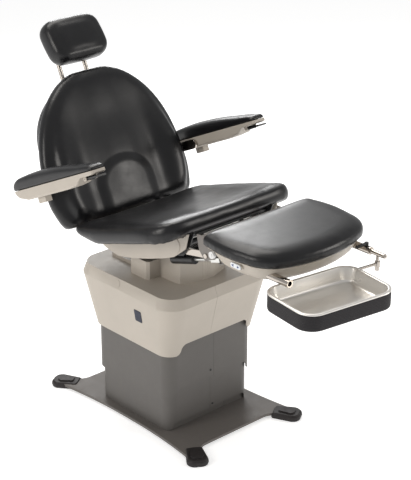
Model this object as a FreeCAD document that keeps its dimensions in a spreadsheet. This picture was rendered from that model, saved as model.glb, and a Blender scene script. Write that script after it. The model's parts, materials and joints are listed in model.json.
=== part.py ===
"""Podiatry chair: lifting pedestal, tilting seat, reclining back, foot section and tray.

The origin is on the floor under the lift column.  +Z is up, -Y is where the patient's feet
point and +X is the patient's left.  Lengths are millimetres and angles are degrees.
"""
import FreeCAD
import Part
import Sketcher
import math
import os

# Driving dimensions, one word each

SIZES = {
    # Base plate and its feet
    "plate_half_long": 380.0,
    "plate_edge_y": 314.0,
    "plate_waist_x": 217.0,
    "plate_thick": 10.0,
    "plate_under_z": 8.0,
    "leg_tip_x": 238.0,
    "leg_root_x": 140.0,
    "cap_x": 214.0,
    "cap_y": 352.0,
    "cap_long": 100.0,
    "cap_wide": 76.0,
    "cap_tall": 25.0,
    "cap_turn_angle": 32.0,
    "cap_pad_share": 0.55,
    "cap_pad_tall": 5.0,
    # Lower cover and what it hides
    "lower_half_x": 187.0,
    "lower_half_y": 186.0,
    "lower_corner": 40.0,
    "lower_top_z": 265.0,
    "lower_arch_tall": 30.0,
    "lower_arch_half": 165.0,
    "cover_wall": 3.0,
    "cover_seam_gap": 0.6,
    "lower_seam_x": 0.0,
    "kick_inset": 9.0,
    "kick_thick": 3.0,
    "screw_head_radius": 4.0,
    "screw_head_tall": 1.5,
    "screw_stem_radius": 2.0,
    "lower_screw_x": 11.0,
    "lower_screw_z": 60.0,
    "inlet_wide": 50.0,
    "inlet_tall": 30.0,
    "inlet_deep": 26.0,
    "inlet_z": 70.0,
    "inlet_well_wall": 4.0,
    "inlet_well_deep": 18.0,
    "inlet_x": 90.0,
    "control_long": 170.0,
    "control_wide": 52.0,
    "control_tall": 150.0,
    "control_gap": 12.0,
    "motor_radius": 32.0,
    "motor_tall": 130.0,
    "motor_x": 135.0,
    "gearbox_wide": 74.0,
    "gearbox_tall": 46.0,
    # Telescopic column and lift actuator
    "outer_tube_half": 90.0,
    "tube_wall": 5.0,
    "glide_gap": 3.0,
    "glide_clear": 0.4,
    "glide_wide": 80.0,
    "glide_tall": 40.0,
    "tube_corner": 14.0,
    "outer_tube_top_z": 250.0,
    "mid_tube_low_z": 148.0,
    "mid_tube_top_z": 390.0,
    "inner_tube_low_z": 272.0,
    "spindle_radius": 8.0,
    "spindle_top_z": 245.0,
    "spindle_flange_radius": 30.0,
    "spindle_flange_thick": 7.0,
    "ram_radius": 15.0,
    "ram_clear": 0.6,
    "ram_top_z": 385.0,
    "ram_floor_thick": 3.5,
    "sleeve_radius": 22.0,
    # Middle cover
    "mid_step": 8.0,
    "mid_corner": 44.0,
    "mid_low_z": 143.0,
    "mid_top_z": 405.0,
    "mid_arch_tall": 31.0,
    "mid_seam_x": 10.0,
    "mid_screw_x": 5.0,
    "mid_screw_z": 200.0,
    # Shroud over the column head
    "shroud_step": 9.0,
    "shroud_low_z": 311.0,
    "shroud_low_corner": 52.0,
    "shroud_flare_x": 32.0,
    "shroud_flare_y": 47.0,
    "shroud_crease_z": 503.0,
    "shroud_crease_corner": 74.0,
    "shroud_bevel_x": 12.0,
    "shroud_bevel_y": 13.0,
    "shroud_top_z": 540.0,
    "shroud_top_corner": 66.0,
    "shroud_wall": 4.0,
    "shroud_arch_tall": 41.0,
    "shroud_arch_half": 150.0,
    "shroud_seam_x": 25.0,
    "neck_wing_out": 55.0,
    "neck_wing_rear_y": 41.0,
    "neck_wing_front_y": 56.0,
    "drive_gap": 7.0,
    "neck_stem_front_y": 138.0,
    "neck_nose_x": 26.0,
    "neck_nose_y": 178.0,
    "neck_top_z": 606.0,
    "neck_stem_top_z": 640.0,
    "neck_rear_out": 10.0,
    "neck_rear_y": 196.0,
    "neck_rear_top_z": 551.0,
    "neck_corner": 9.0,
    "plug_radius": 14.0,
    "plug_deep": 6.0,
    "plug_proud": 1.2,
    "plug_y": 25.0,
    "plug_z": 521.0,
    "badge_y": 76.0,
    "badge_z": 436.0,
    "badge_wide": 34.0,
    "badge_tall": 44.0,
    "badge_thick": 2.0,
    "badge_corner": 4.0,
    "badge_lean_angle": 9.5,
    # Lift head and tilt drive
    "head_half_x": 150.0,
    "head_half_y": 150.0,
    "head_thick": 12.0,
    "head_gap": 4.0,
    "cheek_inset": 24.0,
    "cheek_thick": 10.0,
    "cheek_rear_y": 120.0,
    "cheek_foot_front_y": 130.0,
    "cheek_web_thick": 6.0,
    "tilt_y": 229.0,
    "tilt_z": 739.0,
    "tilt_boss_radius": 20.0,
    "tilt_shaft_radius": 12.5,
    "shaft_clear": 0.05,
    "tilt_ram_y": 40.0,
    "tilt_ram_radius": 17.0,
    "tilt_ram_low_z": 410.0,
    "tilt_ram_high_z": 596.0,
    "tilt_rod_radius": 8.0,
    "tilt_pin_z": 645.0,
    "tilt_pin_radius": 7.0,
    "tilt_pin_half": 20.0,
    "tilt_eye_radius": 14.0,
    # Seat, in a frame that turns with it about the tilt shaft
    "seat_angle": 17.5,
    "seat_half": 303.0,
    "seat_rear_y": 408.0,
    "seat_front_y": 93.0,
    "seat_top_z": 86.0,
    "seat_low_z": 22.0,
    "seat_dish": 9.0,
    "soft_gap": 0.3,
    "seat_tuck": 34.0,
    "rail_inset": 22.7,
    "rail_thick": 5.0,
    "rail_low_z": 44.0,
    "deck_thick": 8.0,
    "deck_half": 194.7,
    "deck_front_y": 56.0,
    "deck_rear_y": 310.0,
    "cross_radius": 9.0,
    "lug_thick": 8.0,
    "lug_gap": 1.0,
    "skirt_wall": 4.0,
    "skirt_low_z": 50.0,
    "skirt_rear_y": 369.0,
    "skirt_front_y": 86.0,
    "skirt_corner": 60.0,
    "cap_disc_radius": 31.0,
    "cap_disc_proud": 2.5,
    # Tilt slot under the seat
    "slot_clear": 2.3,
    "slot_travel_rear": 14.0,
    "slot_travel_front": 24.0,
    "slot_rim": 9.0,
    # Recline hinge and its drive, in the seat frame
    "recline_y": 395.0,
    "recline_z": 30.0,
    "recline_pin_radius": 8.0,
    "recline_pin_half": 16.0,
    "recline_eye_radius": 18.0,
    "back_lug_gap": 3.0,
    "crank_arm": 48.0,
    "crank_angle": 35.0,
    "crank_inset": 39.0,
    "crank_thick": 8.0,
    "crank_roller_radius": 6.0,
    "crank_slot_clear": 1.6,
    "crank_rim": 5.0,
    "drive_case_radius": 18.0,
    "drive_case_long": 130.0,
    "drive_rod_radius": 7.0,
    "drive_fork_thick": 6.0,
    "back_drive_front_y": 40.0,
    # Back, in a frame that turns with it about the recline hinge
    "back_angle": 25.0,
    "back_half": 305.0,
    "back_low_z": 44.0,
    "back_high_z": 557.0,
    "back_face_y": 39.0,
    "back_rear_y": 94.0,
    "back_wing": 34.0,
    "back_bulge": 22.0,
    "back_plate_thick": 5.0,
    "back_plate_over": 2.0,
    "back_plate_low_z": 60.0,
    "back_plate_high_z": 500.0,
    "back_shell_gap": 0.4,
    "back_shell_deep": 62.0,
    "back_shell_low_z": 130.0,
    "back_shell_high_z": 522.0,
    "back_shell_half": 262.0,
    "back_shell_wall": 4.0,
    # Headrest
    "post_x": 55.0,
    "post_y": 141.0,
    "post_radius": 8.0,
    "post_low_z": 300.0,
    "post_high_z": 655.0,
    "guide_radius": 13.0,
    "guide_low_z": 370.0,
    "guide_high_z": 470.0,
    "head_pivot_z": 655.0,
    "head_turn_angle": 15.0,
    "head_half": 116.0,
    "head_tall": 160.0,
    "head_deep": 74.0,
    "head_low": 88.0,
    "head_pin_radius": 9.0,
    "head_ear_gap": 2.0,
    "head_ear_thick": 7.0,
    "head_plate_thick": 6.0,
    "head_plate_half": 74.0,
    "head_plate_tall": 96.0,
    "head_standoff": 15.0,
    # Arms, in the back frame
    "arm_inner_x": 321.0,
    "arm_outer_x": 387.0,
    "arm_line_z": 221.0,
    "arm_front_y": 330.0,
    "arm_rear_y": 150.0,
    "arm_low_z": 182.0,
    "arm_pad_tall": 44.0,
    "arm_pivot_y": 5.0,
    "arm_pivot_z": 199.0,
    "arm_pin_radius": 9.0,
    "arm_pin_reach": 22.0,
    "arm_bar_tall": 34.0,
    "arm_bar_thick": 8.0,
    "arm_bar_x": 309.0,
    "arm_stub_long": 30.0,
    "arm_stub_wide": 26.0,
    "arm_stub_low_z": 161.0,
    "arm_lever_y": 274.0,
    "arm_lever_z": 200.0,
    "arm_lever_half": 19.0,
    "arm_lever_reach": 62.0,
    "arm_lever_thick": 6.0,
    "arm_lever_radius": 7.0,
    # Foot section, in a level frame at its hinge
    "foot_hinge_y": 126.0,
    "foot_hinge_z": 42.0,
    "foot_pin_radius": 8.0,
    "foot_eye_radius": 17.0,
    "foot_bar_thick": 9.0,
    "foot_bar_tall": 20.0,
    "channel_outset": 8.0,
    "channel_wall": 6.0,
    "channel_floor": 3.0,
    "channel_top_z": 61.0,
    "channel_rear_y": 44.0,
    "channel_front_y": 230.0,
    "channel_side_low_z": 34.0,
    "disc_y": 34.0,
    "disc_z": 16.0,
    "disc_radius": 12.0,
    "disc_wide": 9.0,
    "pan_rim_low_z": 57.0,
    "pan_rim_inset": 9.0,
    "pan_rear_y": 88.0,
    "pan_low_rear_y": 165.0,
    "runner_inset": 15.0,
    "runner_low_z": 38.0,
    "foot_half": 249.0,
    "foot_rear_y": 36.0,
    "foot_front_y": 371.0,
    "foot_pad_low_z": 65.0,
    "foot_pad_tall": 46.0,
    "pan_top_z": 64.6,
    "pan_low_z": 10.0,
    "pan_wall": 4.0,
    "pan_draw": 36.0,
    "socket_z": 32.0,
    "socket_radius": 13.0,
    "socket_bore_radius": 8.2,
    "socket_root_y": 262.0,
    "socket_end_y": 372.0,
    "socket_flange_radius": 18.0,
    "socket_flange_thick": 4.0,
    "rocker_long": 44.0,
    "rocker_wide": 15.0,
    "rocker_thick": 3.5,
    "rocker_y": 193.0,
    "rocker_z": 47.0,
    "rocker_gap": 1.2,
    "switch_inset": 18.0,
    "bezel_thick": 8.0,
    "bezel_rim": 2.0,
    "rocker_pin_radius": 1.2,
    "arrow_long": 7.0,
    "arrow_proud": 0.6,
    # Foot drive
    "foot_crank_arm": 34.0,
    "foot_crank_angle": 27.5,
    "foot_swing_angle": 45.0,
    "foot_drive_inset": 36.0,
    "foot_drive_rear_y": 96.0,
    "foot_case_long": 110.0,
    "foot_case_radius": 17.0,
    "foot_rod_radius": 7.0,
    "foot_roller_pin": 5.0,
    "foot_slot_clear": 2.4,
    # Tray and its arm, in the foot frame
    "tube_radius": 8.0,
    "tube_in_y": 290.0,
    "tube_out_y": 428.0,
    "drop_radius": 5.5,
    "drop_y": 400.0,
    "drop_sleeve_radius": 9.0,
    "drop_sleeve_tall": 22.0,
    "lever_long": 44.0,
    "lever_thick": 6.0,
    "lever_hub_radius": 7.0,
    "lever_y": 352.0,
    "lever_clear": 0.4,
    "tray_x": 89.0,
    "tray_y": 449.0,
    "tray_rim_z": 8.0,
    "tray_long": 340.0,
    "tray_wide": 232.0,
    "tray_corner": 54.0,
    "tray_turn_angle": 8.0,
    "band_tall": 52.0,
    "band_thick": 9.0,
    "pan_rim_over": 4.0,
    "pan_sheet": 1.5,
    "pan_deep": 44.0,
    "pan_slope": 14.0,
    "pan_clear": 1.0,
}

doc = FreeCAD.newDocument("PodiatryChair")
sheet = doc.addObject("Spreadsheet::Sheet", "Sizes")
for row, (alias, number) in enumerate(SIZES.items(), 1):
    sheet.set("A%d" % row, alias)
    sheet.set("B%d" % row, str(number))
    sheet.setAlias("B%d" % row, alias)
doc.recompute()
print("sizes", len(SIZES))


class Rule:
    """A size known both as a number and as the words that give it in the sheet."""

    def __init__(self, number, words):
        self.number = float(number)
        self.words = words

    def __float__(self):
        return self.number

    def __add__(self, other):
        return Rule(self.number + float(other), "(%s + %s)" % (self.words, words(other)))

    def __radd__(self, other):
        return Rule(float(other) + self.number, "(%s + %s)" % (words(other), self.words))

    def __sub__(self, other):
        return Rule(self.number - float(other), "(%s - %s)" % (self.words, words(other)))

    def __rsub__(self, other):
        return Rule(float(other) - self.number, "(%s - %s)" % (words(other), self.words))

    def __mul__(self, other):
        return Rule(self.number * float(other), "(%s * %s)" % (self.words, words(other)))

    __rmul__ = __mul__

    def __truediv__(self, other):
        return Rule(self.number / float(other), "(%s / %s)" % (self.words, words(other)))

    def __neg__(self):
        return Rule(-self.number, "(-1 * %s)" % self.words)


class Sizes:
    """Every size of the sheet by its name."""

    def __getattr__(self, name):
        return Rule(getattr(sheet, name), "Sizes." + name)


k = Sizes()
kept = {}
ACROSS = FreeCAD.Vector(1, 0, 0)
UP = FreeCAD.Vector(0, 0, 1)
TURNS = {
    "X": FreeCAD.Rotation(FreeCAD.Vector(0, 1, 0), 90),
    "Y": FreeCAD.Rotation(FreeCAD.Vector(1, 0, 0), -90),
    "Z": FreeCAD.Rotation(),
}
FLAT_SHARE = 0.004


def words(value):
    return value.words if isinstance(value, Rule) else repr(float(value))


def sine(rule):
    return Rule(math.sin(math.radians(float(rule))), "sin(%s)" % rule.words)


def cosine(rule):
    return Rule(math.cos(math.radians(float(rule))), "cos(%s)" % rule.words)


def vector(x, y, z):
    return FreeCAD.Vector(float(x), float(y), float(z))


def bind(thing, **rules):
    """Ties properties of an object to rules of the sheet."""
    for name, rule in rules.items():
        thing.setExpression(name, words(rule))
    return thing


def put(thing, x, y, z):
    """Ties an object's place to rules of the sheet."""
    for name, rule in (("x", x), ("y", y), ("z", z)):
        thing.setExpression("Placement.Base." + name, words(rule))
    return thing


# Makers of simple solids and of their unions and cuts

def block(name, x, y, z):
    """A box that fills the ranges x, y and z, each a pair from low to high."""
    box = doc.addObject("Part::Box", name)
    bind(box, Length=x[1] - x[0], Width=y[1] - y[0], Height=z[1] - z[0])
    return put(box, x[0], y[0], z[0])


def rod(name, radius, start, along, length):
    """A round bar of a length from its start along X, Y or Z."""
    bar = doc.addObject("Part::Cylinder", name)
    bar.Placement = FreeCAD.Placement(vector(*start), TURNS[along])
    bind(bar, Radius=radius, Height=length)
    return put(bar, *start)


def join(name, pieces):
    union = doc.addObject("Part::MultiFuse", name)
    union.Shapes = pieces
    return union


def cut(name, base, tools):
    """What is left of base once each tool is taken out of it."""
    result = doc.addObject("Part::Cut", name)
    result.Base = base
    result.Tool = tools[0] if len(tools) == 1 else join(name + "_tools", tools)
    return result


def group(name, pieces):
    """Separate solids in one node."""
    together = doc.addObject("Part::Compound", name)
    together.Links = pieces
    return together


def common(name, one, other):
    both = doc.addObject("Part::Common", name)
    both.Base = one
    both.Tool = other
    return both


def solid(name, shape, place=None):
    """A piece whose shape is worked out here."""
    piece = doc.addObject("Part::Feature", name)
    piece.Shape = shape
    if place is not None:
        piece.Placement = place
    return piece


def keep(node, thing, place=None):
    """Names a finished piece after its node and sets it in its frame."""
    doc.recompute()
    if place is not None:
        thing.Placement = place.multiply(thing.Placement)
    thing.Label = node
    kept[node] = thing
    return thing


# Bodies drawn on a plane and raised from it

PLANES = {"Z": "XY_Plane", "Y": "XZ_Plane", "X": "YZ_Plane"}


def body_with_sketch(name, normal):
    body = doc.addObject("PartDesign::Body", name)
    return body, sketch_in(body, name + "_outline", normal)


def sketch_in(body, name, normal):
    drawing = body.newObject("Sketcher::SketchObject", name)
    plane = [item for item in body.Origin.OriginFeatures if item.Role == PLANES[normal]][0]
    drawing.AttachmentSupport = [(plane, "")]
    drawing.MapMode = "FlatFace"
    return drawing


def pin_point(drawing, item, point, x, y):
    """Holds a sketch point at a distance from the sketch's origin."""
    for kind, rule in (("DistanceX", x), ("DistanceY", y)):
        held = drawing.addConstraint(Sketcher.Constraint(kind, -1, 1, item, point, float(rule)))
        if isinstance(rule, Rule):
            drawing.setExpression("Constraints[%d]" % held, rule.words)


def turns_left(start, end):
    """True where the arc from a corner through its middle point runs counter-clockwise."""
    ax, ay, mx, my = [float(value) for value in start]
    bx, by = float(end[0]), float(end[1])
    return (mx - ax) * (by - my) - (my - ay) * (bx - mx) > 0


def draw_outline(drawing, corners):
    """Closed outline: a corner is (x, y), or (x, y, mid x, mid y) where an arc leaves it."""
    first = drawing.GeometryCount
    ends = []
    for index, corner in enumerate(corners):
        after = corners[(index + 1) % len(corners)]
        start, end = vector(corner[0], corner[1], 0), vector(after[0], after[1], 0)
        if len(corner) == 4:
            drawing.addGeometry(Part.Arc(start, vector(corner[2], corner[3], 0), end), False)
            ends.append((1, 2) if turns_left(corner, after) else (2, 1))
        else:
            drawing.addGeometry(Part.LineSegment(start, end), False)
            ends.append((1, 2))
    for index in range(len(corners)):
        after = (index + 1) % len(corners)
        drawing.addConstraint(Sketcher.Constraint(
            "Coincident", first + index, ends[index][1], first + after, ends[after][0]))
    for index, corner in enumerate(corners):
        pin_point(drawing, first + index, ends[index][0], corner[0], corner[1])
        if len(corner) == 4:
            middle = drawing.addGeometry(Part.Point(vector(corner[2], corner[3], 0)), True)
            pin_point(drawing, middle, 1, corner[2], corner[3])
            drawing.addConstraint(Sketcher.Constraint("PointOnObject", middle, 1, first + index))


def draw_round(drawing, x, y, radius):
    circle = Part.Circle(vector(x, y, 0), UP, float(radius))
    item = drawing.addGeometry(circle, False)
    pin_point(drawing, item, 3, x, y)
    held = drawing.addConstraint(Sketcher.Constraint("Radius", item, float(radius)))
    drawing.setExpression("Constraints[%d]" % held, words(radius))


def draw_rounded(drawing, half_x, half_y, corner):
    """A rectangle about the origin whose corners are arcs."""
    first = drawing.GeometryCount
    a, b, r = float(half_x), float(half_y), float(corner)
    sides = [(r - a, -b, a - r, -b), (a, r - b, a, b - r), (a - r, b, r - a, b), (-a, b - r, -a, r - b)]
    for x1, y1, x2, y2 in sides:
        drawing.addGeometry(Part.LineSegment(vector(x1, y1, 0), vector(x2, y2, 0)), False)
    centres = [(a - r, r - b), (a - r, b - r), (r - a, b - r), (r - a, r - b)]
    for step, (x, y) in enumerate(centres):
        circle = Part.Circle(vector(x, y, 0), UP, r)
        turn = math.radians(90 * step - 90)
        drawing.addGeometry(Part.ArcOfCircle(circle, turn, turn + math.pi / 2), False)
    for step in range(4):
        drawing.addConstraint(Sketcher.Constraint("Tangent", first + step, 2, first + 4 + step, 1))
        drawing.addConstraint(Sketcher.Constraint("Tangent", first + 4 + step, 2, first + (step + 1) % 4, 1))
        kind = "Horizontal" if step % 2 == 0 else "Vertical"
        drawing.addConstraint(Sketcher.Constraint(kind, first + step))
    for step in range(3):
        drawing.addConstraint(Sketcher.Constraint("Equal", first + 4, first + 5 + step))
    dims = [Sketcher.Constraint("Radius", first + 4, r)]
    dims.append(Sketcher.Constraint("DistanceY", -1, 1, first, 1, -b))
    dims.append(Sketcher.Constraint("DistanceX", -1, 1, first + 1, 1, a))
    dims.append(Sketcher.Constraint("DistanceY", -1, 1, first + 2, 1, b))
    dims.append(Sketcher.Constraint("DistanceX", -1, 1, first + 3, 1, -a))
    for dim, rule in zip(dims, (corner, -half_y, half_x, half_y, -half_x)):
        drawing.setExpression("Constraints[%d]" % drawing.addConstraint(dim), words(rule))


def raise_pad(body, drawing, length, both_ways=False):
    """Raises a drawing; on the XZ plane a pad runs towards -Y, so it is turned about."""
    doc.recompute()
    pad = body.newObject("PartDesign::Pad", body.Name + "_pad")
    pad.Profile = drawing
    bind(pad, Length=length)
    if both_ways:
        pad.Midplane = True
    doc.recompute()
    return pad


def plate(name, normal, corners, length, both_ways=False):
    """A flat piece cut to an outline, with its thickness along the plane's normal."""
    body, drawing = body_with_sketch(name, normal)
    draw_outline(drawing, corners)
    raise_pad(body, drawing, length, both_ways)
    return body


def round_edges(body, radius, chosen):
    """Rounds the edges of a body that the chooser picks."""
    names = ["Edge%d" % number for number, edge in enumerate(body.Shape.Edges, 1) if chosen(edge)]
    fillet = body.newObject("PartDesign::Fillet", body.Name + "_rounding")
    fillet.Base = (body.Tip, names)
    bind(fillet, Radius=radius)
    body.Tip = fillet
    doc.recompute()
    return fillet


def upright(edge):
    return abs(edge.tangentAt(edge.FirstParameter).z) > 0.99 and edge.Curve.TypeId == "Part::GeomLine"


def square_tube(name, half_x, half_y, corner, wall, low, high):
    """A square tube with rounded corners that stands from low to high."""
    body, drawing = body_with_sketch(name, "Z")
    draw_rounded(drawing, half_x, half_y, corner)
    draw_rounded(drawing, half_x - wall, half_y - wall, corner - wall)
    raise_pad(body, drawing, high - low)
    bind(body, **{"Placement.Base.z": low})
    return body


def rounded_post(name, half_x, half_y, corner, low, high):
    body, drawing = body_with_sketch(name, "Z")
    draw_rounded(drawing, half_x, half_y, corner)
    raise_pad(body, drawing, high - low)
    bind(body, **{"Placement.Base.z": low})
    return body


# Outlines of arcs and lines for lofted forms

def ess(start, end):
    """Two equal arcs that leave start level and reach end level; a corner list for wire_of."""
    x1, y1, x2, y2 = [float(value) for value in start + end]
    run, rise = x2 - x1, y2 - y1
    if abs(rise) < abs(run) * FLAT_SHARE:
        return [(x1, y1), ((x1 + x2) / 2, (y1 + y2) / 2)]
    radius = (run * run + rise * rise) / (4 * abs(rise))
    half_angle = math.asin(abs(run) / 2 / radius) / 2
    across = math.copysign(radius * math.sin(half_angle), run)
    down = math.copysign(radius * (1 - math.cos(half_angle)), rise)
    middle = ((x1 + x2) / 2, (y1 + y2) / 2)
    return [(x1, y1, x1 + across, y1 + down), middle + (x2 - across, y2 - down)]


def wire_of(corners, onto):
    """Closed wire through corners as in draw_outline; onto turns a pair into a point."""
    edges = []
    for index, corner in enumerate(corners):
        after = corners[(index + 1) % len(corners)]
        start, end = onto(corner[0], corner[1]), onto(after[0], after[1])
        if len(corner) == 4:
            edges.append(Part.Arc(start, onto(corner[2], corner[3]), end).toShape())
        else:
            edges.append(Part.LineSegment(start, end).toShape())
    return Part.Wire(edges)


def loft(sections, ruled=False):
    return Part.makeLoft(sections, True, ruled)


def rounded_corners(half_x, half_y, corner, centre=(0, 0)):
    """Corners of a rounded rectangle as a corner list of lines and quarter arcs."""
    a, b, r = float(half_x), float(half_y), float(corner)
    x, y = float(centre[0]), float(centre[1])
    s = r * (1 - math.sqrt(0.5))
    return [
        (x - a + r, y - b), (x + a - r, y - b, x + a - s, y - b + s),
        (x + a, y - b + r), (x + a, y + b - r, x + a - s, y + b - s),
        (x + a - r, y + b), (x - a + r, y + b, x - a + s, y + b - s),
        (x - a, y + b - r), (x - a, y - b + r, x - a + s, y - b + s),
    ]


def level(height):
    return lambda x, y: vector(x, y, height)


# Places that follow other sizes, so that what nests or lines up keeps doing so

mid_half_x = k.lower_half_x + k.mid_step
mid_half_y = k.lower_half_y + k.mid_step
shroud_low_x = mid_half_x + k.shroud_step
shroud_low_y = mid_half_y + k.shroud_step
shroud_crease_x = shroud_low_x + k.shroud_flare_x
shroud_crease_y = shroud_low_y + k.shroud_flare_y
shroud_top_x = shroud_crease_x - k.shroud_bevel_x
shroud_top_y = shroud_crease_y - k.shroud_bevel_y
skirt_x = k.deck_half + k.soft_gap + k.skirt_wall
rail_x = k.deck_half - k.rail_inset
back_lug_x = rail_x + k.rail_thick + k.back_lug_gap + k.lug_thick / 2
back_plate_half = back_lug_x + k.lug_thick / 2 + k.back_plate_over
crank_x = rail_x - k.crank_inset
foot_drive_x = rail_x - k.foot_drive_inset
foot_bar_x = rail_x - k.foot_bar_thick
channel_x = rail_x + k.channel_outset
runner_x = channel_x - k.runner_inset
socket_x = channel_x
switch_x = k.foot_half - k.switch_inset
neck_stem_x = crank_x - k.drive_case_radius - k.drive_gap
neck_wing_x = neck_stem_x + k.neck_wing_out
neck_rear_x = neck_stem_x + k.neck_rear_out
cheek_x = neck_stem_x - k.cheek_inset


# Base plate, foot caps and the lower cover

plate_top_z = k.plate_under_z + k.plate_thick


def base_plate():
    """Four splayed legs with hollow long sides and straight ends between the feet."""
    tip_x, tip_y, edge, root = k.leg_tip_x, k.plate_half_long, k.plate_edge_y, k.leg_root_x
    notch_x, notch_y = root + (tip_x - root) * 0.28, edge + (tip_y - edge) * 0.28
    inner_x = tip_x * 0.84
    side_x, side_y = (k.plate_waist_x + tip_x) / 2 - tip_x * 0.018, tip_y * 0.5
    corners = []
    for sx, sy in ((1, -1), (1, 1), (-1, 1), (-1, -1)):
        leg = [
            (root * sx, edge * sy, notch_x * sx, notch_y * sy - (tip_y - edge) * 0.13 * sy),
            (inner_x * sx, tip_y * sy),
            (tip_x * sx, tip_y * 0.965 * sy),
            (tip_x * 1.015 * sx, tip_y * 0.9 * sy, side_x * sx, side_y * sy),
            (k.plate_waist_x * sx, tip_y * 0.12 * sy),
        ]
        if sx * sy > 0:
            leg = mirrored_run(leg)
        corners += leg
    body = plate("base_plate_body", "Z", corners, k.plate_thick)
    bind(body, **{"Placement.Base.z": k.plate_under_z})
    return keep("base_plate", body)


def mirrored_run(corners):
    """The same run of corners walked the other way, with each arc kept."""
    turned = []
    for index in range(len(corners) - 1, -1, -1):
        corner = corners[index]
        before = corners[index - 1] if index > 0 else None
        if before is not None and len(before) == 4:
            turned.append((corner[0], corner[1], before[2], before[3]))
        else:
            turned.append((corner[0], corner[1]))
    return turned


def foot_caps():
    """Rubber caps over the leg ends: a low body, a raised pad and a slot for the plate."""
    caps = []
    for name, sx, sy in (("fr", -1, -1), ("fl", 1, -1), ("rr", -1, 1), ("rl", 1, 1)):
        half_long, half_wide, tall = k.cap_long / 2, k.cap_wide / 2, k.cap_tall

        def outline(share, narrow):
            back, front = half_long * share, half_long * share
            wide = half_wide * share
            return [
                (-back, -wide * narrow), (front * 0.45, -wide, front * 0.9, -wide * 0.72),
                (front, 0, front * 0.9, wide * 0.72), (front * 0.45, wide),
                (-back, wide * narrow, -back * 1.06, 0),
            ]

        sections = []
        for share, height in ((0.95, 0), (1.0, tall * 0.3), (0.97, tall * 0.62), (0.84, tall * 0.86)):
            sections.append(wire_of(outline(share, 0.78), level(height)))
        shape = loft(sections, True)
        low = tall * 0.86
        pad = loft([
            wire_of(outline(k.cap_pad_share * 1.06, 0.6), level(low - k.cap_pad_tall * 0.4)),
            wire_of(outline(k.cap_pad_share, 0.6), level(low + k.cap_pad_tall)),
        ], True)
        shape = shape.fuse(pad).removeSplitter()
        turn = math.degrees(math.atan2(sy * math.cos(math.radians(float(k.cap_turn_angle))),
                                       sx * math.sin(math.radians(float(k.cap_turn_angle)))))
        at = FreeCAD.Placement(vector(k.cap_x * sx, k.cap_y * sy, 0), FreeCAD.Rotation(UP, turn))
        caps.append((name, solid("cap_" + name, shape, at)))
    return caps


def capped_leg_slots(caps, board):
    """Each cap grips the plate's end, so the plate's space is taken out of it."""
    pieces = [cut("foot_cap_" + name, cap, [board]) for name, cap in caps]
    return keep("foot_caps", group("foot_caps_group", pieces))


def arch_cutter(name, arch_half, arch_tall, reach, low):
    """Tool for a flat arch through the front and the rear, with curved ends."""
    rise = arch_tall / 2
    arch = plate(name, "Y", [
        (-arch_half - rise, -rise), (arch_half + rise, -rise),
        (arch_half + rise, 0, arch_half + rise * 0.3, rise * 0.3),
        (arch_half, rise, arch_half - rise * 0.3, rise * 1.7),
        (arch_half - rise, arch_tall), (rise - arch_half, arch_tall, rise * 0.3 - arch_half, rise * 1.7),
        (-arch_half, rise, -arch_half - rise * 0.3, rise * 0.3),
        (-arch_half - rise, 0),
    ], reach, True)
    return bind(arch, **{"Placement.Base.z": low})


def cover_with_arch(name, half_x, half_y, corner, wall, low, high, arch_half, arch_tall):
    """Open square cover whose front and rear lower edges rise in a flat arch."""
    tube = square_tube(name + "_tube", half_x, half_y, corner, wall, low, high)
    return cut(name + "_shell", tube, [arch_cutter(name + "_arch", arch_half, arch_tall, half_y * 3, low)])


def halves(name, shell, seam_x, reach, low, high):
    """A cover split along a plane across X; the seam is a fine gap."""
    gap = k.cover_seam_gap / 2
    right = block(name + "_right_side", (-reach, seam_x - gap), (-reach, reach), (low, high))
    left = block(name + "_left_side", (seam_x + gap, reach), (-reach, reach), (low, high))
    keep(name + "_right", common(name + "_right_half", shell, right))
    keep(name + "_left", common(name + "_left_half", shell, left))


def cover_screw(node, seam_x, x, z, face_y):
    """A pan-head screw through the front of a cover, beside its seam."""
    stem = rod(node + "_stem", k.screw_stem_radius, (x, -face_y, z), "Y", k.cover_wall * 2)
    head = rod(node + "_head", k.screw_head_radius, (x, -face_y - k.screw_head_tall, z), "Y", k.screw_head_tall)
    return join(node + "_body", [stem, head])


def screw_hole(name, x, z, face_y):
    return rod(name, k.screw_stem_radius, (x, -face_y - k.cover_wall, z), "Y", k.cover_wall * 3)


def lower_cover():
    low, reach = plate_top_z, k.lower_half_x * 2
    shell = cover_with_arch("lower", k.lower_half_x, k.lower_half_y, k.lower_corner, k.cover_wall,
                            low, k.lower_top_z, k.lower_arch_half, k.lower_arch_tall)
    well = inlet_well_range(0)
    hole = block("inlet_window", *well)
    pierced = cut("lower_pierced", shell, [
        hole, screw_hole("lower_screw_hole", k.lower_screw_x, k.lower_screw_z, k.lower_half_y)])
    halves("lower_cover", pierced, k.lower_seam_x, reach, low, k.lower_top_z)
    keep("lower_cover_screw", cover_screw("lower_screw", k.lower_seam_x, k.lower_screw_x,
                                          k.lower_screw_z, k.lower_half_y))


def inlet_well_range(grow):
    half_wide, half_tall = k.inlet_wide / 2, k.inlet_tall / 2
    return ((k.inlet_x - half_wide, k.inlet_x + half_wide),
            (k.lower_half_y - k.cover_wall * 2, k.lower_half_y + k.cover_wall),
            (k.inlet_z - half_tall, k.inlet_z + half_tall))


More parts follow.
